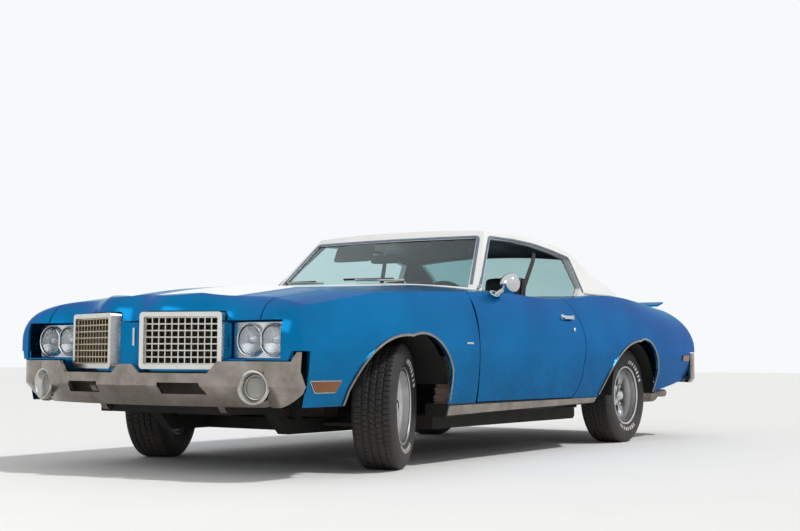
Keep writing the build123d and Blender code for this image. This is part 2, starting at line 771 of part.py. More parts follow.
print("running gear")
with BuildPart() as frame_rails:
    plan = [(rail_end_x, 360), (rail_end_x, 430), (1130, 430), (980, 720), (-780, 720), (-960, 560), (-2380, 560),
            (-2380, 490), (-1000, 490), (-850, 640), (900, 640), (1060, 360)]
    rise = [(rail_end_x, horn_low_z), (rail_end_x, horn_top_z), (1990, horn_top_z), (1870, rail_top_z),
            (-700, rail_top_z), (-960, 462), (-2400, 462),
            (-2400, 395), (-1000, 395), (-760, rail_bottom_z), (1870, rail_bottom_z), (1990, horn_low_z)]
    add(common(top_slab(plan, 100, 600), side_slab(rise, -900, 900)))
    mirror(about=Plane.XZ)
    add(block(1450, 1580, -400, 400, rail_bottom_z, 245))
    add(block(2240, 2310, -400, 400, horn_low_z, horn_top_z - 10))
    add(block(0, 80, -700, 700, rail_bottom_z, 245))
    add(block(-2380, -2320, -540, 540, 400, 455))

with BuildPart() as front_suspension:
    arm = [(front_axle_x - 70, 430 + seat_gap), (front_axle_x + 70, 430 + seat_gap),
           (front_axle_x + 20, kingpin_y + 16), (front_axle_x - 20, kingpin_y + 16)]
    add(top_slab(arm, kingpin_low_z - 16, kingpin_low_z))
    add(rod((front_axle_x, kingpin_y, kingpin_low_z - 2), (front_axle_x, kingpin_y, kingpin_low_z + 34),
            kingpin_radius))
    high_arm = [(front_axle_x - 60, 384), (front_axle_x + 60, 384),
                (front_axle_x + 20, kingpin_y + 16), (front_axle_x - 20, kingpin_y + 16)]
    add(top_slab(high_arm, kingpin_high_z, kingpin_high_z + 16))
    add(rod((front_axle_x, kingpin_y, kingpin_high_z - 34), (front_axle_x, kingpin_y, kingpin_high_z + 2),
            kingpin_radius))
    add(block(front_axle_x - 60, front_axle_x + 60, 380, 428, rail_top_z + seat_gap, kingpin_high_z + 16))
    mirror(about=Plane.XZ)


# Sets a wheel piece, made for the left with its middle on the origin, on its axle
def placed(piece, x, y, side, turn=0):
    spin = turn if side > 0 else turn + 180
    return piece.moved(Location((x, y, tyre_radius), (0, 0, spin)))


def front_place(side):
    turn = radians(steer_at_rest)
    reach = side * (front_track / 2 - kingpin_y)
    return (front_axle_x - reach * sin(turn), side * kingpin_y + reach * cos(turn), side, steer_at_rest)


wheel_places = {
    "front_left": front_place(1),
    "front_right": front_place(-1),
    "rear_left": (rear_axle_x, rear_track / 2, 1, 0),
    "rear_right": (rear_axle_x, -rear_track / 2, -1, 0),
}

with BuildPart() as knuckle:
    scrub = front_track / 2 - kingpin_y
    low = kingpin_low_z - tyre_radius
    high = kingpin_high_z - tyre_radius
    add(block(-22, 22, -22, 22, low + 0.5, high - 0.5))
    add(rod((0, 0, 0), (0, scrub + 10, 0), spindle_radius))
    add(rod((0, 36, 0), (0, 50, 0), 128))
    add(block(-150, -10, -12, 12, -14, 8))
    add(rod((0, 0, low), (0, 0, low + 34.3), kingpin_radius + spin_play), mode=Mode.SUBTRACT)
    add(rod((0, 0, high - 34.3), (0, 0, high), kingpin_radius + spin_play), mode=Mode.SUBTRACT)

with BuildPart() as rear_axle:
    add(rod((rear_axle_x, -650, tyre_radius), (rear_axle_x, 650, tyre_radius), 38))
    add(rod((rear_axle_x, -120, tyre_radius), (rear_axle_x, 120, tyre_radius), 112))
    add(rod((rear_axle_x, 0, tyre_radius), (rear_axle_x + 230, 0, tyre_radius), 60))
    for side in (-1, 1):
        hub = rear_track / 2
        add(rod((rear_axle_x, side * 640, tyre_radius), (rear_axle_x, side * (hub - 38), tyre_radius), 126))
        add(rod((rear_axle_x, side * 640, tyre_radius), (rear_axle_x, side * (hub + 10), tyre_radius),
                spindle_radius))
        add(rod((rear_axle_x, side * 525, tyre_radius + 10), (rear_axle_x, side * 525, 395 - seat_gap), 52))

with BuildPart() as tyre:
    half = tyre_width / 2
    tread = tread_width / 2
    bead = rim_width / 2 - seat_gap
    hole = rim_radius - 15 + seat_gap
    with BuildSketch(Plane.YZ):
        with BuildLine():
            Polyline((0, hole), (bead, hole), (bead, rim_radius + 3))
            ThreePointArc((bead, rim_radius + 3), (half, 258), (tread, tyre_radius - 7))
            ThreePointArc((tread, tyre_radius - 7), (tread - 6, tyre_radius - 2), (tread - 16, tyre_radius))
            Line((tread - 16, tyre_radius), (0, tyre_radius))
            mirror(about=Plane.YZ)
        make_face()
    revolve(axis=Axis.Y)

with BuildPart() as rim:
    lip = rim_width / 2
    seat = rim_radius - 15
    with BuildSketch(Plane.YZ):
        with BuildLine():
            Polyline((0, seat), (lip, seat), (lip, rim_radius), (lip + 5, rim_radius), (lip + 6, rim_radius - 6),
                     (lip + 3, seat - 6), (0, seat - 6))
            mirror(about=Plane.YZ)
        make_face()
    revolve(axis=Axis.Y)
    add(rod((0, 2, 0), (0, 12, 0), seat - 3))
    add(rod((0, -12, 0), (0, 20, 0), 62))
    for turn in range(0, 360, 72):
        window = top_slab([(74, -24), (74, 24), (152, 50), (152, -50)], -30, 30, 12)
        add(window.rotate(Axis.X, 90).rotate(Axis.Y, turn), mode=Mode.SUBTRACT)
    with BuildSketch(Plane.YZ):
        Polygon((14, 0), (14, 40), (30, 40), (66, 28), (72, 22), (72, 0), align=None)
    revolve(axis=Axis.Y)
    add(rod((0, -31, 0), (0, 12, 0), spindle_radius + spin_play), mode=Mode.SUBTRACT)

wheel_parts = {}
for corner, place in wheel_places.items():
    wheel_parts[f"tyre_{corner}"] = placed(tyre.part, *place)
    wheel_parts[f"rim_{corner}"] = placed(rim.part, *place)
wheel_parts["knuckle_left"] = placed(knuckle.part, front_axle_x, kingpin_y, 1, steer_at_rest)
wheel_parts["knuckle_right"] = placed(knuckle.part, front_axle_x, -kingpin_y, -1, steer_at_rest)

with BuildPart() as engine:
    add(block(1100, 1700, -235, 235, 300, 800))
    add(block(1480, 1550, -378, 378, rail_top_z + seat_gap, 420))

with BuildPart() as radiator:
    add(block(2250, 2290, -560, 560, horn_top_z + seat_gap, 726))

with BuildPart() as exhaust:
    add(rod((-1760, 690, 312), (-2150, 690, 312), 56))
    add(rod((-2149, 664, 315), (-2455, 664, 315), 29, 25))
    add(block(-2110, -2070, boot_half + seat_gap, 660, 340, 480))
    mirror(about=Plane.XZ)

with BuildPart() as fuel_tank:
    add(block(-2300, -1990, -400, 400, 262, 470 - sheet / 2 - seat_gap))

with BuildPart() as hinges:
    for z in door_hinge_heights:
        add(rod((door_pin_x, door_pin_y, z - 30), (door_pin_x, door_pin_y, z + 30), pin_radius))
        for plate in (z - 30, z + 21):
            add(top_slab([(858, 793), (858, 830), (door_pin_x - 9, door_pin_y + 3), (door_pin_x, door_pin_y + 9),
                          (door_pin_x + 9, door_pin_y + 3), (936, 793)], plate, plate + 9))
        add(block(750, 936, post_half + seat_gap, 796.5, z - 30, z + 30))
    x, y, z = hood_pin
    add(rod((x, y - 20, z), (x, y + 20, z), pin_radius))
    for side in (y - 18, y + 9):
        add(side_slab([(x - 9, z + 5), (x + 9, z + 5), (x + 9, 760), (702 + seat_gap, 720), (702 + seat_gap, 770),
                       (x - 24, 800)], side, side + 9))
    x, y, z = lid_pin
    add(rod((x, y - 20, z), (x, y + 20, z), pin_radius))
    for side in (y - 18, y + 9):
        add(side_slab([(x + 9, z + 5), (x - 9, z + 5), (x - 9, 820), (-1480 - seat_gap, 815),
                       (-1480 - seat_gap, 850), (x + 24, 850)], side, side + 9))
    mirror(about=Plane.XZ)

nodes = {
    "front_fenders": front_fenders, "rear_quarters": rear_quarters, "hood": hood, "trunk_lid": trunk_lid,
    "deck_panel": deck_panel, "tail_panel": tail_panel, "header_panel": header_panel, "roof": roof,
    "headliner": headliner, "windshield": windshield, "rear_window": rear_window, "cowl_panel": cowl_panel,
    "door_left": door_left, "door_right": door_right, "handle_left": handle_left, "handle_right": handle_right,
    "mirror_left": mirror_left, "body_mouldings": body_mouldings, "side_markers": side_markers,
    "rocker_sills": rocker_sills, "grille_frames": grille_frames, "grilles": grilles,
    "headlamp_bezels": headlamp_bezels, "headlamps": headlamps, "front_bumper": front_bumper,
    "parking_lamps": parking_lamps, "rear_bumper": rear_bumper, "tail_lamps": tail_lamps, "spoiler": spoiler,
    "floor_pan": floor_pan, "wheelhouses": wheelhouses, "dashboard": dashboard,
    "steering_column": steering_column, "steering_wheel": steering_wheel, "front_seats": front_seats,
    "rear_seat": rear_seat, "frame_rails": frame_rails, "front_suspension": front_suspension,
    "rear_axle": rear_axle, "engine": engine, "radiator": radiator, "exhaust": exhaust,
    "fuel_tank": fuel_tank, "hinges": hinges,
}
pieces = {name: node.part for name, node in nodes.items()}
pieces.update(wheel_parts)

for name, piece in pieces.items():
    piece.label = name
    export_step(piece, f"parts/{name}.step")
    box = piece.bounding_box()
    print(name, len(piece.solids()), "solids", [round(v) for v in (*box.min, *box.max)])
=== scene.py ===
import math

import bmesh
import bpy
import numpy as np
from mathutils import Matrix, Vector
from mathutils.bvhtree import BVHTree


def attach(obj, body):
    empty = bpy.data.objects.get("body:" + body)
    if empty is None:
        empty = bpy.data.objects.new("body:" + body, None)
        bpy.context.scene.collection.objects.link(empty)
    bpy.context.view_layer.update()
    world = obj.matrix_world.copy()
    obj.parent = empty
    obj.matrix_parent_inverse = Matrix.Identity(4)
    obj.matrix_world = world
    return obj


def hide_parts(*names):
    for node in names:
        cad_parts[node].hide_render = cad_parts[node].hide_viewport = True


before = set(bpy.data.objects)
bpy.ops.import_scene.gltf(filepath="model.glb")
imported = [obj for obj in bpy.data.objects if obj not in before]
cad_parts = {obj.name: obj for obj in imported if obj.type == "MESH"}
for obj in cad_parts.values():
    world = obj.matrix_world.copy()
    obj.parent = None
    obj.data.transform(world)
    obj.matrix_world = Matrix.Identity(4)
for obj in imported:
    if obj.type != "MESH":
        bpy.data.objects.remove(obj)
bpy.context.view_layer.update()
print("frame loaded:", len(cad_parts), "nodes")

# Camera: its place in metres, its lens in millimetres and its angles in degrees
view = dict(place=(6.930, 4.456, 0.553), lens=57.49, heading=213.611, pitch=4.2517, roll=0.3056)
heading, pitch, roll = (math.radians(view[k]) for k in ("heading", "pitch", "roll"))
ahead = Vector((math.cos(heading) * math.cos(pitch), math.sin(heading) * math.cos(pitch), math.sin(pitch)))
level = ahead.cross(Vector((0, 0, 1))).normalized()
upright = level.cross(ahead)
rightWay = level * math.cos(roll) + upright * math.sin(roll)
upWay = upright * math.cos(roll) - level * math.sin(roll)
camera = bpy.data.objects.new("camera", bpy.data.cameras.new("camera"))
camera.data.lens = view["lens"]
camera.data.sensor_width = 36
camera.data.clip_end = 200
turnMatrix = Matrix((rightWay, upWay, -ahead)).transposed().to_4x4()
camera.matrix_world = Matrix.Translation(view["place"]) @ turnMatrix
bpy.context.collection.objects.link(camera)
bpy.context.scene.camera = camera


# Shader helpers. A keyword's underscores stand for the spaces in a socket's name
def makeMaterial(name, **values):
    mat = bpy.data.materials.new(name)
    mat.use_nodes = True
    shader = mat.node_tree.nodes["Principled BSDF"]
    for socket, value in values.items():
        shader.inputs[socket.replace("_", " ")].default_value = value
    return mat, mat.node_tree, shader


# A node with its settings; each socket is given another node's output to link, or a value
def addNode(tree, kind, sockets=(), **settings):
    node = tree.nodes.new(kind)
    for key, value in settings.items():
        setattr(node, key, value)
    for socket, source in dict(sockets).items():
        if hasattr(source, "is_output"):
            tree.links.new(source, node.inputs[socket])
        else:
            node.inputs[socket].default_value = source
    return node


# A node group with named sockets; returns it with its inner inputs and outputs
def newGroup(name, inputs, outputs):
    group = bpy.data.node_groups.new(name, "ShaderNodeTree")
    for label, kind, value in inputs:
        socket = group.interface.new_socket(label, in_out="INPUT", socket_type="NodeSocket" + kind)
        socket.default_value = value
    for label, kind in outputs:
        group.interface.new_socket(label, in_out="OUTPUT", socket_type="NodeSocket" + kind)
    return group, group.nodes.new("NodeGroupInput").outputs, group.nodes.new("NodeGroupOutput").inputs


def useGroup(tree, group, **values):
    sockets = {label.replace("_", " "): value for label, value in values.items()}
    return addNode(tree, "ShaderNodeGroup", sockets, node_tree=group).outputs


def place(tree):
    return addNode(tree, "ShaderNodeTexCoord").outputs["Object"]


# Colour that goes from first to second as the factor goes from 0 to 1
def mixColor(tree, factor, first, second):
    sockets = {0: factor, 6: first, 7: second}
    return addNode(tree, "ShaderNodeMix", sockets, data_type="RGBA").outputs[2]


# Straight ramp from start to end while the value goes from low to high
def span(tree, value, low, high, start=0.0, end=1.0):
    return addNode(tree, "ShaderNodeMapRange", {0: value, 1: low, 2: high, 3: start, 4: end}).outputs[0]


# Two values multiplied, or put together by another operation; a third is for those that take one
def calc(tree, first, second, third=0.0, operation="MULTIPLY"):
    return addNode(tree, "ShaderNodeMath", {0: first, 1: second, 2: third}, operation=operation).outputs[0]


def bumpFrom(tree, shader, height, strength, distance):
    bump = addNode(tree, "ShaderNodeBump", {"Height": height, "Strength": strength, "Distance": distance})
    tree.links.new(bump.outputs[0], shader.inputs["Normal"])


# Fractal noise from 0 to 1
def noise(tree, where, scale, detail, rough=0.5):
    values = {"Vector": where, "Scale": scale, "Detail": detail, "Roughness": rough}
    return addNode(tree, "ShaderNodeTexNoise", values).outputs[0]


# Road dust, which on the body paint is also painted shade: thick low down, thinning upwards, broken up by two
# sizes of noise
roadDustAndShade, gin, gout = newGroup(
    "roadDustAndShade",
    [("Color", "Color", (0.5, 0.5, 0.5, 1)), ("Dust Color", "Color", (0.3, 0.26, 0.2, 1)),
     ("Low", "Float", 0.2), ("High", "Float", 0.6), ("Amount", "Float", 0.5)],
    [("Color", "Color"), ("Mask", "Float")])
dustPlace = place(roadDustAndShade)
dustHeight = addNode(roadDustAndShade, "ShaderNodeSeparateXYZ", {0: dustPlace}).outputs[2]
dustFall = span(roadDustAndShade, dustHeight, gin["Low"], gin["High"], 1.0, 0.0)
dustNoise = calc(roadDustAndShade, noise(roadDustAndShade, dustPlace, 7.0, 6.0), noise(roadDustAndShade, dustPlace, 90.0, 3.0))
dustSpread = calc(roadDustAndShade, dustFall, span(roadDustAndShade, dustNoise, 0.12, 0.4, 0.2, 1.0))
dustMask = calc(roadDustAndShade, dustSpread, gin["Amount"])
roadDustAndShade.links.new(mixColor(roadDustAndShade, dustMask, gin["Color"], gin["Dust Color"]), gout["Color"])
roadDustAndShade.links.new(dustMask, gout["Mask"])

# Leather grain: rounded cells as a height, and broad clouds as a shade
leatherGrain, gin, gout = newGroup(
    "leatherGrain", [("Scale", "Float", 400.0)], [("Height", "Float"), ("Shade", "Float")])
grainPlace = place(leatherGrain)
grainCells = addNode(leatherGrain, "ShaderNodeTexVoronoi",
                     {"Vector": grainPlace, "Scale": gin["Scale"]}, feature="SMOOTH_F1")
leatherGrain.links.new(grainCells.outputs["Distance"], gout["Height"])
leatherGrain.links.new(noise(leatherGrain, grainPlace, 3.0, 4.0), gout["Shade"])

# Weathering: cloudy stains about a level, sharper with less contrast, and fine pits
weather, gin, gout = newGroup(
    "weather", [("Scale", "Float", 6.0), ("Level", "Float", 0.5), ("Contrast", "Float", 0.2)],
    [("Mask", "Float"), ("Pits", "Float")])
weatherPlace = place(weather)
weatherCloud = noise(weather, weatherPlace, gin["Scale"], 8.0, 0.65)
weatherLow = calc(weather, gin["Level"], gin["Contrast"], operation="SUBTRACT")
weatherHigh = calc(weather, gin["Level"], gin["Contrast"], operation="ADD")
weather.links.new(span(weather, weatherCloud, weatherLow, weatherHigh), gout["Mask"])
weather.links.new(noise(weather, weatherPlace, 260.0, 2.0), gout["Pits"])

# Paint: metallic blue with flakes under a clear coat. Low down it has a dark grime that is partly road dirt
# and partly painted shade, standing in for the dark ground that the lower body mirrors. The hood has two
# stripes with slanting front ends, the doors have a black inner side, and the fenders are black inside their
# wells
paintSettings = dict(
    blue=(0.0, 0.195, 0.45, 1), deep=(0.0, 0.115, 0.28, 1), edge=(0.0, 0.34, 0.62, 1), metallic=0.85,
    grimeAndShade=(0.07, 0.066, 0.058, 1), grimeAndShadeLow=0.20, grimeAndShadeHigh=0.64, grimeAndShadeAmount=0.5,
    flakes=900.0, clouds=3.0, flakeBump=0.0002,
    stripe=(0.8, 0.81, 0.8, 1), stripeInner=0.082, stripeOuter=0.448, stripeFrontInner=2.462,
    stripeFrontOuter=2.300, stripeSoft=0.0008,
    lining=(0.012, 0.012, 0.013, 1), liningHalf=0.8805, liningLean=0.137,
    inside=(0.006, 0.006, 0.006, 1), wellFront=1.99, wellTop=0.75, wellTurn=-0.13,
)


# White between two half widths and behind a slanting front edge
def stripeMask(tree, aside, forward):
    p = paintSettings
    soft = p["stripeSoft"]
    across = calc(tree, span(tree, aside, p["stripeInner"] - soft, p["stripeInner"] + soft),
                  span(tree, aside, p["stripeOuter"] - soft, p["stripeOuter"] + soft, 1.0, 0.0))
    slope = (p["stripeFrontInner"] - p["stripeFrontOuter"]) / (p["stripeOuter"] - p["stripeInner"])
    slanted = calc(tree, aside, slope, forward, "MULTIPLY_ADD")
    limit = p["stripeFrontInner"] + slope * p["stripeInner"]
    return calc(tree, across, span(tree, slanted, limit - 0.001, limit + 0.001, 1.0, 0.0))


# White nearer to the middle than a plane that leans in with height
def liningMask(tree, aside, up):
    p = paintSettings
    wall = calc(tree, up, p["liningLean"], aside, "MULTIPLY_ADD")
    return span(tree, wall, p["liningHalf"] - 0.001, p["liningHalf"] + 0.001, 1.0, 0.0)


# White where a face looks towards the middle of the car, low down and behind the lamps
def wellMask(tree, axes):
    p = paintSettings
    normal = addNode(tree, "ShaderNodeTexCoord").outputs["Normal"]
    inwards = calc(tree, addNode(tree, "ShaderNodeSeparateXYZ", {0: normal}).outputs[1], axes[1])
    low = calc(tree, span(tree, axes[0], p["wellFront"] - 0.01, p["wellFront"] + 0.01, 1.0, 0.0),
               span(tree, axes[2], p["wellTop"] - 0.01, p["wellTop"] + 0.01, 1.0, 0.0))
    return calc(tree, span(tree, inwards, p["wellTurn"] - 0.03, p["wellTurn"] + 0.03, 1.0, 0.0), low)


def makePaint(name, striped=False, lined=False, welled=False):
    p = paintSettings
    mat, tree, shader = makeMaterial(name, Metallic=p["metallic"], Coat_Roughness=0.03,
                                     Specular_Tint=p["edge"])
    where = place(tree)
    flakes = addNode(tree, "ShaderNodeTexVoronoi", {"Vector": where, "Scale": p["flakes"]}).outputs[0]
    cloud = noise(tree, where, p["clouds"], 3.0)
    tone = calc(tree, span(tree, flakes, 0.1, 0.9, 0.0, 0.5), cloud, operation="ADD")
    color = mixColor(tree, span(tree, tone, 0.3, 1.0), p["deep"], p["blue"])
    axes = addNode(tree, "ShaderNodeSeparateXYZ", {0: where}).outputs
    aside = addNode(tree, "ShaderNodeMath", {0: axes[1]}, operation="ABSOLUTE").outputs[0]
    layers = []
    if striped:
        layers.append((stripeMask(tree, aside, axes[0]), p["stripe"]))
    if lined:
        layers.append((liningMask(tree, aside, axes[2]), p["lining"]))
    if welled:
        layers.append((wellMask(tree, axes), p["inside"]))
    for mask, layerColor in layers:
        color = mixColor(tree, mask, color, layerColor)
        tree.links.new(span(tree, mask, 0.0, 1.0, p["metallic"], 0.0), shader.inputs["Metallic"])
    # The dust here is dark grime plus painted shade: it darkens the lower body the way a mirrored dark ground
    # would
    dust = useGroup(tree, roadDustAndShade, Color=color, Dust_Color=p["grimeAndShade"],
                    Low=p["grimeAndShadeLow"], High=p["grimeAndShadeHigh"], Amount=p["grimeAndShadeAmount"])
    tree.links.new(dust["Color"], shader.inputs["Base Color"])
    tree.links.new(span(tree, dust["Mask"], 0.0, 0.7, 0.21, 0.6), shader.inputs["Roughness"])
    tree.links.new(span(tree, dust["Mask"], 0.1, 0.8, 0.09, 0.02), shader.inputs["Coat Weight"])
    bumpFrom(tree, shader, flakes, 0.02, p["flakeBump"])
    return mat


# Vinyl: grain as bump, faint stains and a little dust between two heights
def makeVinyl(name, color, soiled, scale, rough):
    mat, tree, shader = makeMaterial(name, Roughness=rough)
    grain = useGroup(tree, leatherGrain, Scale=scale)
    stain = useGroup(tree, weather, Scale=2.2, Level=0.6, Contrast=0.18)
    tint = mixColor(tree, calc(tree, stain["Mask"], 0.5), color, soiled)
    dust = useGroup(tree, roadDustAndShade, Color=tint, Dust_Color=soiled, Low=0.9, High=1.3, Amount=0.12)
    tree.links.new(dust["Color"], shader.inputs["Base Color"])
    roughness = span(tree, grain["Shade"], 0.3, 0.7, rough - 0.07, rough + 0.08)
    tree.links.new(roughness, shader.inputs["Roughness"])
    bumpFrom(tree, shader, grain["Height"], 0.35, 0.0006)
    return mat


# Metal: bright where clean, stained in clouds and pits; dust, if any, thickens below dustHigh. A far-side
# tone, if given, is painted shade over the half at negative y
def makeMetal(name, bright, stained, level, contrast, rough, roughStained, dustAmount=0.0, dustHigh=0.6,
              shadedFarSide=None):
    mat, tree, shader = makeMaterial(name, Metallic=1.0)
    if shadedFarSide:
        aside = addNode(tree, "ShaderNodeSeparateXYZ", {0: place(tree)}).outputs[1]
        bright = mixColor(tree, span(tree, aside, -0.01, 0.01), shadedFarSide, bright)
    worn = useGroup(tree, weather, Scale=9.0, Level=level, Contrast=contrast)
    mask = calc(tree, worn["Mask"], span(tree, worn["Pits"], 0.55, 0.75), operation="MAXIMUM")
    tint = mixColor(tree, mask, bright, stained)
    if dustAmount:
        dust = useGroup(tree, roadDustAndShade, Color=tint, Dust_Color=(0.2, 0.16, 0.12, 1),
                        Low=0.25, High=dustHigh, Amount=dustAmount)
        tint = dust["Color"]
        tree.links.new(span(tree, dust["Mask"], 0.0, 0.8, 1.0, 0.3), shader.inputs["Metallic"])
    tree.links.new(tint, shader.inputs["Base Color"])
    tree.links.new(span(tree, mask, 0.0, 1.0, rough, roughStained), shader.inputs["Roughness"])
    bumpFrom(tree, shader, worn["Pits"], 0.05, 0.0006)
    return mat


# Plastic, rubber, coating or cast metal: two tones in patches, rougher where worn, with dust low down
def makePlain(name, color, worn, rough, dustAmount=0.3, dustHigh=0.6, bump=0.15, scale=60.0, **values):
    mat, tree, shader = makeMaterial(name, **values)
    patch = useGroup(tree, weather, Scale=scale / 6, Level=0.55, Contrast=0.2)
    tint = mixColor(tree, patch["Mask"], color, worn)
    dust = useGroup(tree, roadDustAndShade, Color=tint, Dust_Color=(0.16, 0.13, 0.1, 1),
                    Low=0.1, High=dustHigh, Amount=dustAmount)
    tree.links.new(dust["Color"], shader.inputs["Base Color"])
    roughWorn = min(1.0, rough + 0.15)
    tree.links.new(span(tree, patch["Mask"], 0.0, 1.0, rough, roughWorn), shader.inputs["Roughness"])
    bumpFrom(tree, shader, patch["Pits"], bump, 0.001)
    return mat


# Glass: clear, with a hazy film in patches; lamp glass also has upright flutes as bump
def makeGlass(name, color, rough, ripple=0.0, rippleScale=60.0):
    mat, tree, shader = makeMaterial(name, Roughness=rough, IOR=1.45, Transmission_Weight=1.0)
    film = useGroup(tree, weather, Scale=4.0, Level=0.55, Contrast=0.3)
    hazy = tuple(c * 0.82 for c in color[:3]) + (1,)
    tree.links.new(mixColor(tree, calc(tree, film["Mask"], 0.5), color, hazy), shader.inputs["Base Color"])
    if ripple:
        wave = addNode(tree, "ShaderNodeTexWave", {"Vector": place(tree), "Scale": rippleScale},
                       bands_direction="Y")
        bumpFrom(tree, shader, wave.outputs["Fac"], ripple, 0.002)
    return mat


# Each finish: its name, clean and worn colour, then the values of its kind in the order of its function
paint = makePaint("bluePaint")
hoodPaint = makePaint("stripedPaint", striped=True)
doorPaint = makePaint("doorPaint", lined=True)
wingPaint = makePaint("wingPaint", welled=True)
whiteVinyl = makeVinyl("whiteVinyl", (0.8, 0.8, 0.78, 1), (0.6, 0.58, 0.52, 1), 520.0, 0.52)
blackVinyl = makeVinyl("blackVinyl", (0.013, 0.013, 0.014, 1), (0.03, 0.028, 0.026, 1), 700.0, 0.42)
brightChrome = makeMetal("brightChrome", (0.6, 0.62, 0.64, 1), (0.4, 0.38, 0.35, 1), 0.66, 0.12, 0.05, 0.25)
trimChrome = makeMetal("trimChrome", (0.56, 0.56, 0.55, 1), (0.36, 0.33, 0.29, 1), 0.58, 0.2, 0.12, 0.34, 0.3)
# Chrome for the drip rails and windshield trim, darkened and tinted blue: a painted reflection in the base
# colour
reflectionDarkChrome = makeMetal("reflectionDarkChrome", (0.2, 0.24, 0.3, 1), (0.12, 0.14, 0.17, 1), 0.6, 0.2, 0.08, 0.2)
oldChrome = makeMetal("oldChrome", (0.38, 0.345, 0.31, 1), (0.15, 0.125, 0.105, 1), 0.54, 0.24, 0.11, 0.32,
                      0.3, 0.45)
frameSilver = makeMetal("frameSilver", (0.7, 0.7, 0.68, 1), (0.52, 0.5, 0.45, 1), 0.62, 0.25, 0.2, 0.4)
bowlMirror = makeMetal("bowlMirror", (0.62, 0.64, 0.67, 1), (0.5, 0.52, 0.54, 1), 0.6, 0.2, 0.04, 0.12)
# The grille at negative y takes a darker, browner tone: painted shade
meshSilver = makeMetal("meshSilver", (0.6, 0.6, 0.57, 1), (0.4, 0.38, 0.33, 1), 0.56, 0.2, 0.3, 0.5,
                       shadedFarSide=(0.5, 0.42, 0.26, 1))
steelBare = makeMetal("steelBare", (0.3, 0.28, 0.26, 1), (0.13, 0.085, 0.055, 1), 0.5, 0.2, 0.4, 0.7, 0.5)
tintedGlass = makeGlass("tintedGlass", (0.45, 0.66, 0.67, 1), 0.0)
lampGlass = makeGlass("lampGlass", (0.95, 0.97, 0.98, 1), 0.02, 0.35, 55.0)
frostGlass = makeGlass("frostGlass", (0.9, 0.88, 0.82, 1), 0.3, 0.6, 90.0)
redLens = makePlain("redLens", (0.42, 0.005, 0.008, 1), (0.3, 0.004, 0.006, 1), 0.16, 0.1, scale=30.0)
amberLens = makePlain("amberLens", (0.2, 0.062, 0.004, 1), (0.13, 0.038, 0.004, 1), 0.12, 0.05, scale=30.0)
darkPlastic = makePlain("darkPlastic", (0.012, 0.012, 0.013, 1), (0.025, 0.024, 0.022, 1), 0.55, 0.25)
# Grey-brown of the boards behind the grilles and bumper slots: painted shade
shadeBoardGrey = makePlain("shadeBoardGrey", (0.075, 0.068, 0.055, 1), (0.045, 0.04, 0.033, 1), 0.7, 0.2)
underCoat = makePlain("underCoat", (0.007, 0.007, 0.007, 1), (0.014, 0.012, 0.010, 1), 0.8, 0.12, 0.4, 0.5)
satinSilver = makeMetal("satinSilver", (0.74, 0.74, 0.75, 1), (0.55, 0.53, 0.5, 1), 0.62, 0.2, 0.3, 0.45)
castIron = makePlain("castIron", (0.05, 0.047, 0.045, 1), (0.1, 0.055, 0.03, 1), 0.7, 0.4, 0.5, 0.5,
                     Metallic=0.5)
rustyLip = makePlain("rustyLip", (0.24, 0.2, 0.165, 1), (0.2, 0.085, 0.035, 1), 0.8, 0.5, 0.6, 0.8, 90.0)
tyreRubber = makePlain("tyreRubber", (0.012, 0.012, 0.013, 1), (0.022, 0.021, 0.02, 1), 0.65, 0.22, 0.5, 0.3)
whiteRubber = makePlain("whiteRubber", (0.72, 0.7, 0.66, 1), (0.5, 0.46, 0.4, 1), 0.6, 0.4, 0.5, 0.2)
print("materials made")

# Finish of each node that keeps its own shape
nodeFinish = {
    wingPaint: ["front_fenders", "rear_quarters"],
    paint: ["trunk_lid", "deck_panel", "tail_panel", "header_panel", "spoiler"],
    hoodPaint: ["hood", "cowl_panel"],
    doorPaint: ["door_left", "door_right"],
    whiteVinyl: ["roof"],
    blackVinyl: ["headliner", "dashboard", "front_seats", "rear_seat"],
    tintedGlass: ["windshield", "rear_window"],
    trimChrome: ["handle_left", "handle_right", "mirror_left"],
    oldChrome: ["front_bumper", "rear_bumper", "body_mouldings"],
    frameSilver: ["grille_frames", "headlamp_bezels"],
    meshSilver: ["grilles"],
    lampGlass: ["headlamps"],
    frostGlass: ["parking_lamps"],
    amberLens: ["side_markers"],
    redLens: ["tail_lamps"],
    underCoat: ["rocker_sills", "floor_pan", "wheelhouses", "frame_rails", "radiator", "hinges"],
    darkPlastic: ["steering_column", "steering_wheel"],
    castIron: ["front_suspension", "rear_axle", "engine", "fuel_tank", "knuckle_left", "knuckle_right"],
    steelBare: ["exhaust"],
    tyreRubber: [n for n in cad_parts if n.startswith("tyre_")],
    brightChrome: [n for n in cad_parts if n.startswith("rim_")],
}
for mat, names in nodeFinish.items():
    for nodeName in names:
        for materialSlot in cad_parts[nodeName].material_slots:
            materialSlot.material = mat
print("nodes finished")


# A finished piece: doubles merged, faces turned outwards, edges sharper than the crease kept sharp
def makePiece(name, verts, faces, mat, body, slot, crease=35):
    mesh = bpy.data.meshes.new(name)
    mesh.from_pydata(np.asarray(verts, float).reshape(-1, 3).tolist(), [], [list(f) for f in faces])
    cleaned = bmesh.new()
    cleaned.from_mesh(mesh)
    bmesh.ops.remove_doubles(cleaned, verts=cleaned.verts, dist=1e-6)
    bmesh.ops.recalc_face_normals(cleaned, faces=cleaned.faces)
    cleaned.to_mesh(mesh)
    cleaned.free()
    mesh.polygons.foreach_set("use_smooth", [True] * len(mesh.polygons))
    mesh.set_sharp_from_angle(angle=math.radians(crease))
    piece = bpy.data.objects.new(name, mesh)
    bpy.context.collection.objects.link(piece)
    piece.data.materials.append(mat)
    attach(piece, body)
    return piece


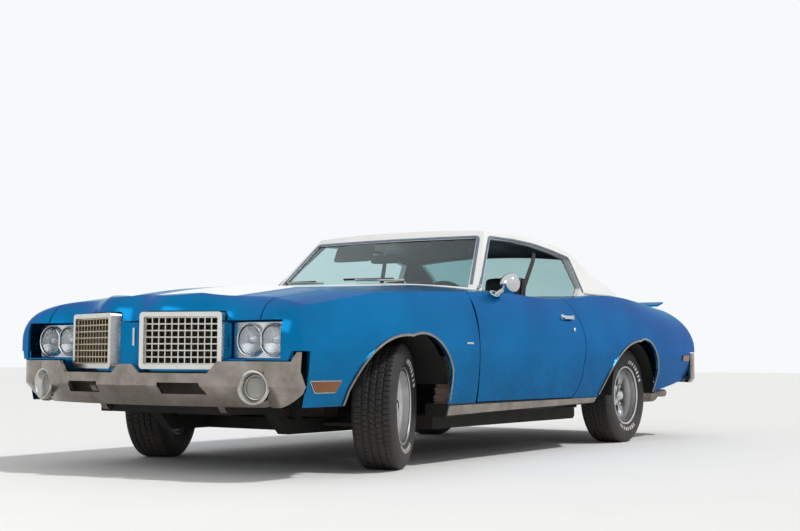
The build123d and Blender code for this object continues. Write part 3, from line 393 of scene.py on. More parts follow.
# Quads of a rows by columns grid; either way round may close on itself
def gridFaces(rows, columns, closeRows=False, closeColumns=False, start=0):
    r = np.arange(rows if closeRows else rows - 1)
    c = np.arange(columns if closeColumns else columns - 1)
    rr, cc = np.meshgrid(r, c, indexing="ij")
    r2, c2 = (rr + 1) % rows, (cc + 1) % columns
    quads = np.stack([rr * columns + cc, r2 * columns + cc, r2 * columns + c2, rr * columns + c2], -1)
    return (quads.reshape(-1, 4) + start).tolist()


# Several solids in one piece: each item is (points, faces)
def joined(items):
    verts, faces, start = [], [], 0
    for points, quads in items:
        points = np.asarray(points, float).reshape(-1, 3)
        verts.append(points)
        faces += [[i + start for i in f] for f in quads]
        start += len(points)
    return np.vstack(verts), faces


# A closed profile carried along a path: each ring is path + a * side + b * normal, grown by scale
def carried(path, normals, profile, scale=1.0):
    path, normals, profile = (np.asarray(v, float) for v in (path, normals, profile))
    count = len(path)
    along = np.gradient(path, axis=0)
    along /= np.linalg.norm(along, axis=1, keepdims=True)
    normals = normals - (normals * along).sum(1, keepdims=True) * along
    normals /= np.linalg.norm(normals, axis=1, keepdims=True)
    side = np.cross(along, normals)
    grow = np.broadcast_to(scale, count)[:, None, None]
    a = profile[None, :, 0, None] * grow
    b = profile[None, :, 1, None] * grow
    points = path[:, None] + a * side[:, None] + b * normals[:, None]
    last = (count - 1) * len(profile)
    ends = [list(range(len(profile))), list(range(last + len(profile) - 1, last - 1, -1))]
    return points, gridFaces(count, len(profile), False, True) + ends


# A round tube along a path, its ring turned by a fixed up direction
def tube(path, radius, sides=12, up=(0, 0, 1)):
    turn = np.linspace(0, 2 * math.pi, sides, endpoint=False)
    profile = np.stack([np.cos(turn), np.sin(turn)], 1) * radius
    return carried(path, np.tile(up, (len(path), 1)), profile)


# A profile of (radius, depth) turned about an axis through centre; columns run round the axis
def turned(profile, centre, axis, sides):
    axis = Vector(axis).normalized()
    first = axis.orthogonal().normalized()
    second = axis.cross(first)
    turn = np.linspace(0, 2 * math.pi, sides, endpoint=False)
    around = np.cos(turn)[:, None] * np.array(first) + np.sin(turn)[:, None] * np.array(second)
    profile = np.asarray(profile, float)
    points = (np.asarray(centre, float) + profile[:, None, 0, None] * around[None]
              + profile[:, None, 1, None] * np.array(axis))
    return points, gridFaces(len(profile), sides, False, True)


# A block with rounded sides, which may lean: a sphere whose sines and cosines are raised to a small power
def softBlock(centre, size, square, rows, columns, lean=0.0):
    u = np.linspace(-math.pi / 2, math.pi / 2, rows)[:, None]
    v = np.linspace(0, 2 * math.pi, columns, endpoint=False)[None, :]

    def power(w):
        return np.sign(w) * np.abs(w) ** square

    x = power(np.cos(u)) * power(np.cos(v)) * size[0] / 2
    y = power(np.cos(u)) * power(np.sin(v)) * size[1] / 2
    z = power(np.sin(u)) * np.ones_like(v) * size[2] / 2
    points = np.stack([x + z * lean, y, z], -1) + centre
    return points, gridFaces(rows, columns, False, True)


# Rounded line through corner points: each corner is eased by averaging along the arc length
def eased(points, count, ease):
    points = np.asarray(points, float)
    steps = np.r_[0, np.cumsum(np.linalg.norm(np.diff(points, axis=0), axis=1))]
    at = np.linspace(0, steps[-1], count)
    reach = np.linspace(-ease, ease, 9)
    near = np.clip(at[:, None] + reach[None], 0, steps[-1])
    return np.stack([np.interp(near, steps, points[:, k]).mean(1) for k in range(points.shape[1])], 1)


# The faces of some of the frame's nodes, ready for rays
def treeOf(*names):
    verts, faces = [], []
    for nodeName in names:
        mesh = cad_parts[nodeName].data
        start = len(verts)
        verts += [v.co.copy() for v in mesh.vertices]
        faces += [[i + start for i in p.vertices] for p in mesh.polygons]
    return BVHTree.FromPolygons(verts, faces)


# Where rays along one way meet the surface nearest to each point, and the surface's normals there
def onSurface(tree, points, towards):
    towards = Vector(towards)
    found, normals = [], []
    for p in points:
        spot, normal, _, _ = tree.ray_cast(Vector(p) - towards * 3, towards)
        if spot is not None:
            found.append(spot)
            normals.append(normal if normal.dot(towards) < 0 else -normal)
    return np.array(found), np.array(normals)


# A flat-backed strip that lies on the car's surface along a line of points; its back sinks 4 mm into it
def moulding(name, points, tree, towards, width, height, mat, slot="trim_chrome", lift=0.0, count=140,
             ease=0.02):
    path, normals = onSurface(tree, eased(points, count, ease), towards)
    turn = np.linspace(0, math.pi, 7)
    arch = np.stack([np.cos(turn) * width / 2, np.sin(turn) ** 0.7 * height], 1)
    profile = np.vstack([[(width / 2, -0.004)], arch, [(-width / 2, -0.004)]])
    makePiece(name, *carried(path + normals * lift, normals, profile[::-1]), mat, "body", slot)


carSides = ((1, "left"), (-1, "right"))
print("helpers ready")

# Wheels. Each is made about its own middle with Y outwards, then turned and set on its axle
axles = dict(radius=0.322, frontX=1.515, kingpinHalf=0.690, frontHalf=0.758, steer=22, rearX=-1.33,
             rearHalf=0.7495)
steer = math.radians(axles["steer"])
scrub = axles["frontHalf"] - axles["kingpinHalf"]
wheelPlaces = {}
for side, sideName in carSides:
    half = 0 if side > 0 else math.pi
    wheelPlaces["front_" + sideName] = (axles["frontX"] - side * scrub * math.sin(steer),
                                        side * (axles["kingpinHalf"] + scrub * math.cos(steer)), steer + half)
    wheelPlaces["rear_" + sideName] = (axles["rearX"], side * axles["rearHalf"], half)


def onAxle(points, corner):
    x, y, turn = wheelPlaces[corner]
    points = np.asarray(points, float).reshape(-1, 3)
    spun = np.stack([points[:, 0] * math.cos(turn) - points[:, 1] * math.sin(turn),
                     points[:, 0] * math.sin(turn) + points[:, 1] * math.cos(turn), points[:, 2]], 1)
    return spun + (x, y, axles["radius"])


# Tyre: pairs are (half width, radius); grooves and slots are cut where the half width is under cutHalf
tyre = dict(
    bead=(0.0927, 0.1785), wallFoot=0.196, bulge=(0.1128, 0.258), shoulder=(0.095, 0.3145),
    edge=((0.0915, 0.3180), (0.0870, 0.3205)), treadHalf=0.080, cutHalf=0.0885, wallRings=0.0004,
    grooves=(0.0175, 0.0525), grooveHalf=0.0034, grooveDepth=0.0065, zigzag=0.0022,
    pitches=72, perPitch=7, slotDepth=0.0045, across=58,
)


# The sidewall is an arc through bead, bulge and shoulder: given radii, its half width
def sidewallAt(radii):
    (y0, r0), (y1, r1), (y2, r2) = (tyre["bead"][0], tyre["wallFoot"]), tyre["bulge"], tyre["shoulder"]
    a = np.array([[2 * (y1 - y0), 2 * (r1 - r0)], [2 * (y2 - y0), 2 * (r2 - r0)]])
    b = np.array([y1 ** 2 + r1 ** 2 - y0 ** 2 - r0 ** 2, y2 ** 2 + r2 ** 2 - y0 ** 2 - r0 ** 2])
    cy, cr = np.linalg.solve(a, b)
    reach = math.hypot(y0 - cy, r0 - cr)
    return cy + np.sqrt(np.maximum(reach ** 2 - (np.asarray(radii) - cr) ** 2, 0))


# A cross-section carried round the axle, sunk by grooves that zigzag and by slots at each pitch
def tyreSurface():
    t = tyre
    radii = np.linspace(t["wallFoot"], t["shoulder"][1], 16)
    wall = np.stack([sidewallAt(radii), radii], 1)
    wall[::2, 0] += t["wallRings"]
    half = np.linspace(t["treadHalf"], 0, t["across"] // 2)
    tread = np.stack([half, np.full(len(half), axles["radius"])], 1)
    left = np.vstack([[t["bead"]], wall, t["edge"], tread])
    section = np.vstack([left, (left * (-1, 1))[-2::-1]])
    turns = t["pitches"] * t["perPitch"]
    angle = np.linspace(0, 2 * math.pi, turns, endpoint=False)
    step = np.arange(turns) % t["perPitch"]
    y = np.repeat(section[:, 0, None], turns, 1)
    r = np.repeat(section[:, 1, None], turns, 1)
    wave = np.where(step < t["perPitch"] / 2, 1.0, -1.0) * t["zigzag"]
    sink = np.zeros_like(r)
    for middle in t["grooves"]:
        gap = np.abs(np.abs(y) - middle - wave[None, :] * np.where(middle > 0.03, 1, -1))
        sink = np.maximum(sink, t["grooveDepth"] * np.clip(1.6 - gap / t["grooveHalf"], 0, 1))
    rib = np.searchsorted(t["grooves"], np.abs(y).ravel()).reshape(y.shape)
    slot = (step[None, :] + 3 * rib + np.where(y > 0, 0, 2)) % t["perPitch"] == 0
    sink = np.maximum(sink, np.where(slot, t["slotDepth"], 0))
    r = r - np.where(np.abs(y) < t["cutHalf"], sink, 0)
    points = np.stack([r * np.sin(angle)[None, :], y, r * np.cos(angle)[None, :]], -1)
    return points, gridFaces(len(section), turns, True, True)


# Raised bars on the outer wall: two groups, given by where they start; angles are in degrees
wallBars = dict(starts=(-66, 148), count=8, pitch=8.2, widths=(4.6, 3.4, 4.2), inner=0.219, outer=0.241,
                sink=-0.002, rise=0.0011)


# Each bar is a slab between two sheets that follow the wall, closed round its rim
def tyreBars():
    b = wallBars
    items = []
    for start in b["starts"]:
        for k in range(b["count"]):
            a = np.radians(start + k * b["pitch"] + np.linspace(0, b["widths"][k % 3], 6))
            aa, rr = np.meshgrid(a, np.linspace(b["inner"], b["outer"], 6), indexing="ij")
            sheets = [np.stack([rr * np.sin(aa), sidewallAt(rr) + lift, rr * np.cos(aa)], -1).reshape(-1, 3)
                      for lift in (b["sink"], b["rise"])]
            rim = np.r_[0:6, 11:36:6, 34:29:-1, 24:0:-6]
            walls = [[int(i), int(j), int(j) + 36, int(i) + 36] for i, j in zip(rim, np.roll(rim, -1))]
            items.append((np.concatenate(sheets), gridFaces(6, 6, start=36) + gridFaces(6, 6) + walls))
    return joined(items)


# Rim: pairs are (radius, distance outwards from the wheel's middle)
wheel = dict(
    barrel=[(0.1965, 0.0935), (0.1990, 0.0960), (0.1990, 0.0985), (0.1940, 0.0995), (0.1885, 0.0970),
            (0.1850, 0.0870), (0.1800, 0.0620), (0.1735, 0.0320), (0.1700, 0.0050), (0.1680, -0.0250),
            (0.1735, -0.0600), (0.1760, -0.0900), (0.1900, -0.0985), (0.1965, -0.0950), (0.1785, -0.0900),
            (0.1779, 0.0000), (0.1785, 0.0900)],
    hub=[(0.0, -0.02), (0.060, -0.02), (0.074, -0.012), (0.074, 0.012), (0.070, 0.026), (0.060, 0.033),
         (0.042, 0.036), (0.0385, 0.036)],
    cap=[(0.0385, 0.030), (0.0385, 0.050), (0.0370, 0.055), (0.0300, 0.062), (0.0280, 0.0665),
         (0.0200, 0.0700), (0.0090, 0.0715), (0.0, 0.0718)],
    nut=[(0.0105, 0.026), (0.0105, 0.044), (0.0085, 0.048), (0.0045, 0.0505), (0.0, 0.051)],
    spokes=5, phase=0.31, spokeReach=(0.050, 0.1715), spokeHalf=0.021, spokeFace=0.024, nutCircle=0.0605,
)


# The barrel is its outline turned about the axle, closed on itself
def wheelBarrel():
    points, _ = turned(wheel["barrel"], (0, 0, 0), (0, 1, 0), 96)
    return points, gridFaces(len(wheel["barrel"]), 96, True, True)


# Each spoke is a shape carried outwards, wider by the fourth power of its reach and sinking by the power 1.3.
# The hub, the cap and a nut between each two spokes are turned profiles
def wheelCentre():
    items = []
    reach = np.linspace(*wheel["spokeReach"], 12)
    blend = (reach - reach[0]) / (reach[-1] - reach[0])
    halfWidth = wheel["spokeHalf"] + 0.004 * blend + 0.020 * blend ** 4
    face = wheel["spokeFace"] - 0.034 * blend ** 1.3
    shape = np.array([(-1, -0.016), (-1, -0.006), (-0.72, 0.0), (-0.35, -0.003), (0.35, -0.003), (0.72, 0.0),
                      (1, -0.006), (1, -0.016)])
    last = (len(reach) - 1) * len(shape)
    ends = [list(range(len(shape)))[::-1], list(range(last, last + len(shape)))]
    for k in range(wheel["spokes"]):
        turn = 2 * math.pi * k / wheel["spokes"] + wheel["phase"]
        out = np.array([math.sin(turn), 0, math.cos(turn)])
        across = np.array([math.cos(turn), 0, -math.sin(turn)])
        points = (reach[:, None, None] * out + (halfWidth[:, None] * shape[None, :, 0])[..., None] * across
                  + (face[:, None] + shape[None, :, 1])[..., None] * np.array([0, 1, 0]))
        items.append((points, gridFaces(len(reach), len(shape), False, True) + ends))
    items.append(turned(wheel["hub"], (0, 0, 0), (0, 1, 0), 48))
    items.append(turned(wheel["cap"], (0, 0, 0), (0, 1, 0), 48))
    for k in range(wheel["spokes"]):
        turn = 2 * math.pi * (k + 0.5) / wheel["spokes"] + wheel["phase"]
        spot = (wheel["nutCircle"] * math.sin(turn), 0, wheel["nutCircle"] * math.cos(turn))
        items.append(turned(wheel["nut"], spot, (0, 1, 0), 6))
    return joined(items)


tyreShape, barShape, barrelShape, centreShape = tyreSurface(), tyreBars(), wheelBarrel(), wheelCentre()
for corner in wheelPlaces:
    for name, shape, mat, slotName, node in (
        ("tread", tyreShape, tyreRubber, "tyre", "tyre_" + corner),
        ("bars", barShape, whiteRubber, "tyre", None),
        ("barrel", barrelShape, satinSilver, "trim_chrome", "rim_" + corner),
        ("spokes", centreShape, brightChrome, "trim_chrome", None),
    ):
        placed = onAxle(shape[0], corner)
        piece = makePiece(f"{name}_{corner}", placed, shape[1], mat, "wheel_" + corner, slotName)
        if node:
            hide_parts(node)
print("wheels made")


# The same strip on both sides of the car; its line is given for the left one
def sideMouldings(name, line, tree, size, mat, **values):
    for side, sideName in carSides:
        sideLine = np.array(line) * (1, side, 1)
        moulding(f"{name}_{sideName}", sideLine, tree, (0, -side, 0), *size, mat, **values)


# Bright trim on the roof and glass. Sizes are (width, height); each line is dropped onto the surface along
# one way, and its place along that way only has to be outside
roofTree = treeOf("roof")
glassTree = treeOf("windshield", "rear_window", "roof")
trim = dict(
    drip=(0.016, 0.009), shield=(0.020, 0.006), seam=(0.007, 0.0022), foot=(0.013, 0.006), seamHalf=0.43,
    dripLine=[(0.572, 1, 0.960), (0.208, 1, 1.303), (-0.105, 1, 1.308), (-0.365, 1, 1.300),
              (-0.628, 1, 1.272), (-0.812, 1, 1.243), (-0.838, 1, 1.040), (-0.832, 1, 1.005)],
    shieldLine=[(1, -0.716, 0.990), (1, -0.603, 1.300), (1, 0.603, 1.300), (1, 0.716, 0.990)],
    backLine=[(-0.897, -0.568, 2), (-0.897, 0.568, 2), (-1.470, 0.648, 2), (-1.470, -0.648, 2),
              (-0.897, -0.568, 2), (-0.897, -0.560, 2)],
    footLine=[(-0.850, 1, 1.004), (-1.100, 1, 1.006), (-1.300, 1, 1.008), (-1.460, 1, 0.998)],
)
sideMouldings("drip", trim["dripLine"], roofTree, trim["drip"], reflectionDarkChrome)
sideMouldings("vinyl_edge", trim["footLine"], roofTree, trim["foot"], trimChrome)
moulding("windshield_trim", trim["shieldLine"], glassTree, (-1, 0, 0), *trim["shield"], reflectionDarkChrome, count=260)
moulding("rear_window_trim", trim["backLine"], glassTree, (0, 0, -1), *trim["shield"], trimChrome, count=260)
for side, sideName in carSides:
    seamLine = [(0.240, side * trim["seamHalf"], 2), (-0.860, side * trim["seamHalf"], 2)]
    moulding("roof_seam_" + sideName, seamLine, roofTree, (0, 0, -1), *trim["seam"], whiteVinyl, "vinyl")
print("trim made")

# Headlamps: a bowl of mirror metal and a bulb behind a domed, fluted lens, in a thin ring. Depths count
# forwards from the plate
headlamp = dict(plate=2.3625, z=0.644, places=(0.606, 0.745), radius=0.069, bowlDepth=0.017, lensFront=0.021,
                lensBack=0.0185, ringRadius=0.0735, ringDepth=0.026, ringHalf=(0.0042, 0.0055),
                bulb=[(0.016, 0.004), (0.016, 0.012), (0.010, 0.016), (0.0, 0.017)])
bowls, lenses, rings = [], [], []
bowlRadii = np.linspace(headlamp["radius"] - 0.002, 0.0, 10)
bowl = np.stack([bowlRadii, 0.003 + headlamp["bowlDepth"] * (bowlRadii / headlamp["radius"]) ** 2], 1)
out = np.linspace(1, 0, 12)
dome = np.stack([headlamp["radius"] * out, headlamp["lensFront"] + 0.013 * (1 - out ** 2)], 1)
back = np.stack([headlamp["radius"] * out, headlamp["lensBack"] + 0.012 * (1 - out ** 2)], 1)[::-1]
ringTurn = np.linspace(0, 2 * math.pi, 12, endpoint=False)
ring = np.stack([headlamp["ringRadius"] + headlamp["ringHalf"][0] * np.cos(ringTurn),
                 headlamp["ringDepth"] + headlamp["ringHalf"][1] * np.sin(ringTurn)], 1)
for y in (*headlamp["places"], *(-v for v in headlamp["places"])):
    centre = (headlamp["plate"], y, headlamp["z"])
    bowls.append(turned(bowl, centre, (1, 0, 0), 48))
    bowls.append(turned(headlamp["bulb"], centre, (1, 0, 0), 24))
    lenses.append(turned(np.vstack([back, dome]), centre, (1, 0, 0), 48))
    rings.append((turned(ring, centre, (1, 0, 0), 48)[0], gridFaces(12, 48, True, True)))
lampLens = makePiece("lamp_lenses", *joined(lenses), lampGlass, "body", "lamp_glass")
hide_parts("headlamps")
makePiece("lamp_bowls", *joined(bowls), bowlMirror, "body", "trim_chrome")
makePiece("lamp_rings", *joined(rings), brightChrome, "body", "trim_chrome")

# Parking lamps: a deep bright cone with a frosted lens at its bottom. Pairs are (radius, depth)
parking = dict(
    place=(2.464, 0.696, 0.427), turn=0.20, lensRadius=0.0525, lensRise=0.010,
    cone=[(0.0655, -0.030), (0.0790, -0.006), (0.0810, 0.004), (0.0775, 0.011), (0.0700, 0.012),
          (0.0640, 0.006), (0.0550, -0.016), (0.0500, -0.018), (0.0500, -0.030)],
    reflector=[(0.0515, -0.0275), (0.030, -0.0290), (0.0, -0.0295)],
)
cones, frosts, reflectors = [], [], []
out = np.linspace(1, 0, 8)
dome = np.stack([parking["lensRadius"] * out, -0.017 + parking["lensRise"] * (1 - out ** 2)], 1)
frost = np.vstack([[(0.0, -0.026), (parking["lensRadius"], -0.026)], dome])
coneFaces = gridFaces(len(parking["cone"]), 56, True, True)
for side in (1, -1):
    spot = np.array(parking["place"]) * (1, side, 1)
    outward = (1, side * parking["turn"], 0)
    cones.append((turned(parking["cone"], spot, outward, 56)[0], coneFaces))
    reflectors.append(turned(parking["reflector"], spot, outward, 40))
    frosts.append(turned(frost, spot, outward, 40))
makePiece("parking_rings", *joined(cones), trimChrome, "body", "trim_chrome")
makePiece("parking_reflectors", *joined(reflectors), bowlMirror, "body", "trim_chrome")
parkingLens = makePiece("parking_lenses", *joined(frosts), frostGlass, "body", "lamp_glass")
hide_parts("parking_lamps")
print("lamps made")

# Dark boards behind the two grilles and behind the bumper's slots, a painted shade where there is only dark
# space; the grilles turn by an angle in degrees
shadeBoard = dict(middle=(2.490, 0.285, 0.641), turn=18, halfWidth=0.205, halfHeight=0.129, depths=(0.064, 0.058),
             bumperAt=(2.392, 0, 0.455), bumperSize=(0.006, 1.260, 0.190))
boardTurn = math.radians(shadeBoard["turn"])
across = np.array([-math.sin(boardTurn), math.cos(boardTurn), 0]) * shadeBoard["halfWidth"]
inward = np.array([math.cos(boardTurn), math.sin(boardTurn), 0])
lift = np.array([0, 0, shadeBoard["halfHeight"]])
corners = [np.array(shadeBoard["middle"]) - inward * depth + across * a + lift * b for depth in shadeBoard["depths"]
           for a, b in ((-1, -1), (1, -1), (1, 1), (-1, 1))]
boardFaces = [[0, 3, 2, 1], [4, 5, 6, 7], [0, 1, 5, 4], [1, 2, 6, 5], [2, 3, 7, 6], [3, 0, 4, 7]]
shadeBoards = [(np.array(corners) * (1, side, 1), boardFaces) for side in (1, -1)]
shadeBoards.append(softBlock(shadeBoard["bumperAt"], shadeBoard["bumperSize"], 0.08, 8, 16))
makePiece("grille_shade_boards", *joined(shadeBoards), shadeBoardGrey, "body", "dark_plastic")

# Plain bright bars: one upright on the nose, one along each front fender
bars = dict(nose=(0.016, 0.010), noseLine=[(3, -0.003, 0.612), (3, -0.003, 0.708)],
            fender=(0.011, 0.005), fenderLine=[(0.925, 3, 0.648), (1.010, 3, 0.648)])
noseTree = treeOf("header_panel", "hood")
fenderTree = treeOf("front_fenders")
moulding("divider_bar", bars["noseLine"], noseTree, (-1, 0, 0), *bars["nose"], brightChrome, count=16)
sideMouldings("fender_bar", bars["fenderLine"], fenderTree, bars["fender"], brightChrome, count=16)

# A thin bright edge round each front side marker
markerEdge = dict(size=(0.007, 0.004), line=[(2.345, 3, 0.456), (2.116, 3, 0.456), (2.150, 3, 0.404),
                                             (2.299, 3, 0.404), (2.345, 3, 0.456), (2.338, 3, 0.456)])
sideMouldings("marker_edge", markerEdge["line"], treeOf("front_fenders", "side_markers"), markerEdge["size"],
              trimChrome, count=90, ease=0.004)

# Rusty flange at the rear of each front wheel well, bent and flaking: a line in (x, z) carried inwards, with
# products of sines for its ragged edge
flange = dict(line=[(1.104, 0.585), (1.092, 0.500), (1.098, 0.400), (1.114, 0.320), (1.134, 0.262)],
              outer=0.905, width=0.085, lean=0.018, bend=0.0035, flake=0.0025, thickness=0.003)
flangeLine = eased(flange["line"], 70, 0.03)
along = np.linspace(0, 1, 70)[:, None]
reach = np.linspace(0, 1, 8)[None, :]
ragged = (flange["bend"] * np.sin(along * 71) * np.sin(along * 23 + 2)
          + flange["flake"] * np.sin(along * 130 + reach * 5))
for side, sideName in carSides:
    x = flangeLine[:, :1] + flange["lean"] * reach + ragged * (0.3 + reach)
    y = side * (flange["outer"] - flange["width"] * reach - 1.4 * ragged * reach)
    points = np.stack(np.broadcast_arrays(x, y, flangeLine[:, 1:]), -1)
    lip = makePiece("well_lip_" + sideName, points, gridFaces(70, 8), rustyLip, "body", "underbody")
    lip.modifiers.new("thickness", "SOLIDIFY").thickness = flange["thickness"]

# Wipers parked along the glass's foot: points are (across from the pivot, height)
wiper = dict(
    pivotHalf=0.30,
    arm=dict(line=[(0.0, 1.022), (-0.20, 1.028), (-0.36, 1.034)], size=(0.009, 0.010), lift=0.006),
    blade=dict(line=[(-0.08, 1.036), (-0.46, 1.042)], size=(0.007, 0.010), lift=0.002),
)
wiperTree = treeOf("windshield")
for side, sideName in carSides:
    for part, mat, slotName in (("arm", trimChrome, "trim_chrome"), ("blade", darkPlastic, "dark_plastic")):
        line = [(2, side * wiper["pivotHalf"] + across, up) for across, up in wiper[part]["line"]]
        moulding(f"wiper_{part}_{sideName}", line, wiperTree, (-1, 0, 0), *wiper[part]["size"], mat, slotName,
                 lift=wiper[part]["lift"], count=40)
print("trim below the glass made")

# Door handles: a bowed grip on two feet, a push button and a lock. Profiles are (radius, height)
doorGrip = dict(
    rear=(-0.385, 0.826), front=(-0.245, 0.826), lock=(-0.352, 0.752), bow=0.021, halfSize=(0.0105, 0.0045),
    feet=(0.017, 0.019), button=[(0.012, 0.0), (0.012, 0.020), (0.0105, 0.024), (0.0, 0.026)],
    keyhole=[(0.0125, -0.004), (0.0125, 0.003), (0.010, 0.006), (0.004, 0.0065), (0.0, 0.0055)],
)
ovalTurn = np.linspace(0, 2 * math.pi, 14, endpoint=False)
gripOval = np.stack([np.cos(ovalTurn), np.sin(ovalTurn)], 1) * doorGrip["halfSize"]
for side, sideName in carSides:
    doorName = "door_" + sideName
    spots = [(doorGrip[k][0], side, doorGrip[k][1]) for k in ("rear", "front", "lock")]
    rear, front, lock = onSurface(treeOf(doorName), spots, (0, -side, 0))[0]
    t = np.linspace(0, 1, 22)[:, None]
    bow = np.sin(math.pi * t) ** 0.45 * doorGrip["bow"] * np.array([0, side, 0])
    items = [carried(rear + (front - rear) * t + bow, np.tile((0, side, 0.15), (22, 1)), gripOval)]
    for spot, wide in zip((rear, front), doorGrip["feet"]):
        foot = [(wide, -0.004), (wide, 0.003), (wide * 0.8, 0.006), (0.0, 0.007)]
        items.append(turned(foot, spot, (0, side, 0), 24))
    items.append(turned(doorGrip["button"], front + (0.004, 0, 0), (0, side, 0), 24))
    items.append(turned(doorGrip["keyhole"], lock, (0, side, 0), 28))
    handle = makePiece("grip_" + sideName, *joined(items), brightChrome, doorName, "trim_chrome")
    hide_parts("handle_" + sideName)

# Mirror: a bullet shell with a flat glass at its back, on two legs and an oval pad
mirror = dict(
    centre=(0.428, 0.905, 1.000), axis=(1, 0, -0.04), radius=0.0585, length=0.078,
    back=[(0.0, -0.001), (0.0520, -0.001), (0.0535, -0.004), (0.0585, -0.004), (0.0600, 0.0)],
    legs=[([(0.545, 0.852, 0.925), (0.515, 0.866, 0.945), (0.470, 0.890, 0.975)], 0.0075),
          ([(0.500, 0.852, 0.930), (0.478, 0.868, 0.950), (0.445, 0.893, 0.970)], 0.006)],
    padEnds=[(0.470, 0.853, 3), (0.580, 0.853, 3)], padHalf=(0.020, 0.006),
)
out = np.sin(np.linspace(0, math.pi / 2, 14))[::-1]
bullet = np.stack([mirror["radius"] * out, mirror["length"] * np.sqrt(1 - out ** 2)], 1)
shell = turned(np.vstack([mirror["back"], bullet[1:]]), mirror["centre"], mirror["axis"], 48)
legs = [tube(path, radius) for path, radius in mirror["legs"]]
padTurn = np.linspace(0, 2 * math.pi, 24, endpoint=False)
padOval = np.stack([np.cos(padTurn), np.sin(padTurn)], 1) * mirror["padHalf"]
padEnds, padNormals = onSurface(treeOf("door_left"), mirror["padEnds"], (0, 0, -1))
padScale = np.sqrt(np.clip(1 - np.linspace(-1, 1, 9) ** 2, 0.05, 1))
pad = carried(np.linspace(*padEnds, 9), np.tile(padNormals[0], (9, 1)), padOval, padScale)
mirrorParts = joined([shell, *legs, pad])
mirrorShell = makePiece("mirror_shell", *mirrorParts, brightChrome, "door_left", "trim_chrome")
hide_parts("mirror_left")
print("handles and mirror made")

# Cabin: inside mirror on its stalk, two sun visors and a hanging belt on each side
cabin = dict(
    mirrorAt=(0.262, -0.078, 1.190), mirrorSize=(0.022, 0.235, 0.058), stalkRadius=0.0055,
    stalk=[(0.268, -0.100, 1.205), (0.258, -0.075, 1.250), (0.235, -0.045, 1.318)],
    visorAt=(0.215, 0.360, 1.236), visorSize=(0.016, 0.300, 0.105), visorLean=-0.5, beltHalf=(0.023, 0.0008),
    belt=[(-0.470, 0.588, 1.262), (-0.455, 0.585, 1.200), (-0.372, 0.560, 1.020), (-0.340, 0.552, 0.860),
          (-0.330, 0.540, 0.640)],
)
insideMirror = softBlock(cabin["mirrorAt"], cabin["mirrorSize"], 0.4, 14, 40)
makePiece("inside_mirror", *insideMirror, darkPlastic, "body", "dark_plastic")
stalk = tube(eased(cabin["stalk"], 16, 0.01), cabin["stalkRadius"], up=(0, 1, 0))
makePiece("mirror_stalk", *stalk, trimChrome, "body", "trim_chrome")
webbing = np.array([(-1, -1), (1, -1), (1, 1), (-1, 1)]) * cabin["beltHalf"]
for side, sideName in carSides:
    visorAt = np.array(cabin["visorAt"]) * (1, side, 1)
    visor = softBlock(visorAt, cabin["visorSize"], 0.25, 14, 44, cabin["visorLean"])
    makePiece("visor_" + sideName, *visor, blackVinyl, "body", "liner")
    strap = eased(np.array(cabin["belt"]) * (1, side, 1), 40, 0.02)
    belt = carried(strap, np.tile((0, 1, 0), (40, 1)), webbing)
    makePiece("belt_" + sideName, *belt, blackVinyl, "body", "seat_vinyl")

# Seats: crowned pads with sewn channels running front to back, sunk towards the pad's middle by a cosine
# across the car raised to the eighth power
sewing = dict(pitch=0.104, depth=0.006, share=0.36)
seatPads = {
    # name: centre, size, lean, replaced node
    "front_cushion_left": ((-0.070, 0.4075, 0.366), (0.500, 0.455, 0.205), 0.0, "front_seats"),
    "front_cushion_right": ((-0.070, -0.4075, 0.366), (0.500, 0.455, 0.205), 0.0, None),
    "front_back_left": ((-0.372, 0.4075, 0.700), (0.115, 0.440, 0.535), -0.20, None),
    "front_back_right": ((-0.372, -0.4075, 0.700), (0.115, 0.440, 0.535), -0.20, None),
    "headrest_left": ((-0.408, 0.4075, 1.020), (0.100, 0.270, 0.150), -0.15, None),
    "headrest_right": ((-0.408, -0.4075, 1.020), (0.100, 0.270, 0.150), -0.15, None),
    "rear_cushion": ((-0.872, 0, 0.515), (0.340, 1.195, 0.080), 0.0, "rear_seat"),
    "rear_back": ((-1.098, 0, 0.717), (0.095, 1.195, 0.390), -0.36, None),
}
for name, (centre, size, lean, node) in seatPads.items():
    points, faces = softBlock(centre, size, 0.32, 44, 120, lean)
    channels = np.cos(points[..., 1:2] / sewing["pitch"] * 2 * math.pi) ** 8 * sewing["depth"]
    toMiddle = np.array(centre) - points
    sewn = np.abs(toMiddle[..., 1:2]) < size[1] * sewing["share"]
    points = points + toMiddle / np.linalg.norm(toMiddle, axis=-1, keepdims=True) * channels * sewn
    pad = makePiece(name, points, faces, blackVinyl, "body", "seat_vinyl", crease=60)
    if node:
        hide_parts(node)
print("cabin made")

# Floor, pale and slightly clouded
ground = dict(half=60, dark=(0.72, 0.715, 0.70, 1), light=(0.76, 0.755, 0.74, 1))
floorMat, floorTree, floorShader = makeMaterial("paleFloor", Roughness=0.9)
floorGrain = noise(floorTree, place(floorTree), 2.0, 5.0)
floorTone = mixColor(floorTree, floorGrain, ground["dark"], ground["light"])
floorTree.links.new(floorTone, floorShader.inputs["Base Color"])
floorMesh = bpy.data.meshes.new("floor")
floorCorners = [(a * ground["half"], b * ground["half"], 0) for a, b in ((-1, -1), (1, -1), (1, 1), (-1, 1))]
floorMesh.from_pydata(floorCorners, [], [(0, 1, 2, 3)])
floor = bpy.data.objects.new("floor", floorMesh)
floor.data.materials.append(floorMat)
bpy.context.collection.objects.link(floor)

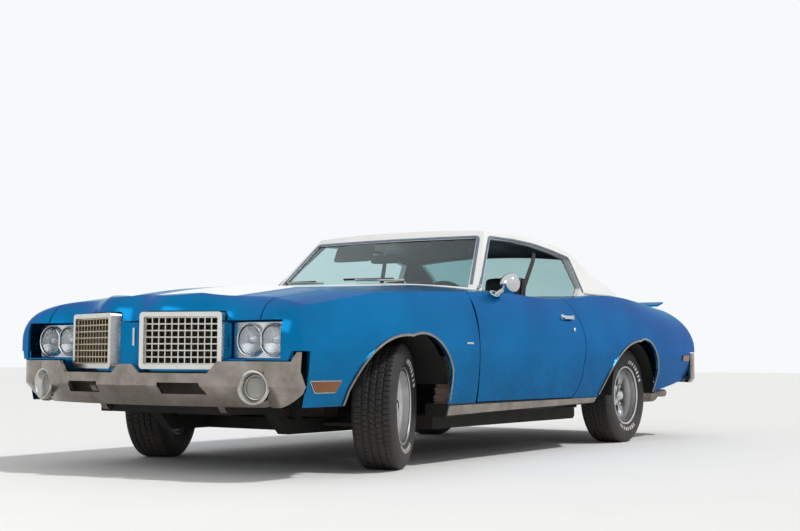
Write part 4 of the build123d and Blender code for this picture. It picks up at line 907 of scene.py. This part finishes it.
# Sky: pale and even where it is seen, mirrored or looked at through glass; a soft ramp where it only lights
studio = dict(seen=(0.93, 0.95, 0.97, 1), low=(0.45, 0.48, 0.52, 1), high=(1.0, 1.0, 1.0, 1), level=0.6)
world = bpy.data.worlds.new("studio")
bpy.context.scene.world = world
world.use_nodes = True
sky = world.node_tree
sky.nodes.clear()
skyWay = addNode(sky, "ShaderNodeTexCoord").outputs["Generated"]
skyUp = addNode(sky, "ShaderNodeSeparateXYZ", {0: skyWay}).outputs[2]
skyRamp = addNode(sky, "ShaderNodeValToRGB", {0: span(sky, skyUp, -0.1, 0.7)})
skyRamp.color_ramp.elements[0].color = studio["low"]
skyRamp.color_ramp.elements[1].color = studio["high"]
skyRays = addNode(sky, "ShaderNodeLightPath").outputs
straightRay = calc(sky, skyRays["Is Camera Ray"], skyRays["Is Transmission Ray"], operation="MAXIMUM")
plainRay = calc(sky, straightRay, skyRays["Is Glossy Ray"], operation="MAXIMUM")
skyColor = mixColor(sky, plainRay, skyRamp.outputs[0], studio["seen"])
skyLevel = span(sky, plainRay, 0.0, 1.0, studio["level"], 1.0)
skyOut = addNode(sky, "ShaderNodeBackground", {"Color": skyColor, "Strength": skyLevel})
sky.links.new(skyOut.outputs[0], addNode(sky, "ShaderNodeOutputWorld").inputs[0])

# Lamps: a sun with a soft edge, its spread an angle, and a broad panel in front, its spread a width
lamps = {
    "sun": dict(kind="SUN", power=2.1, spread=math.radians(3), at=(-2.0, 5.5, 9.0), aim=(0, 0, 0.5)),
    "frontFill": dict(kind="AREA", power=120, spread=5.0, at=(8.5, -1.0, 4.5), aim=(2, 0, 0.6)),
}
for name, lamp in lamps.items():
    data = bpy.data.lights.new(name, lamp["kind"])
    data.energy = lamp["power"]
    setattr(data, "angle" if lamp["kind"] == "SUN" else "size", lamp["spread"])
    light = bpy.data.objects.new(name, data)
    light.location = lamp["at"]
    light.rotation_euler = (Vector(lamp["aim"]) - Vector(lamp["at"])).to_track_quat("-Z", "Y").to_euler()
    bpy.context.collection.objects.link(light)
bpy.context.scene.view_settings.view_transform = "Standard"
print("stage and light set")
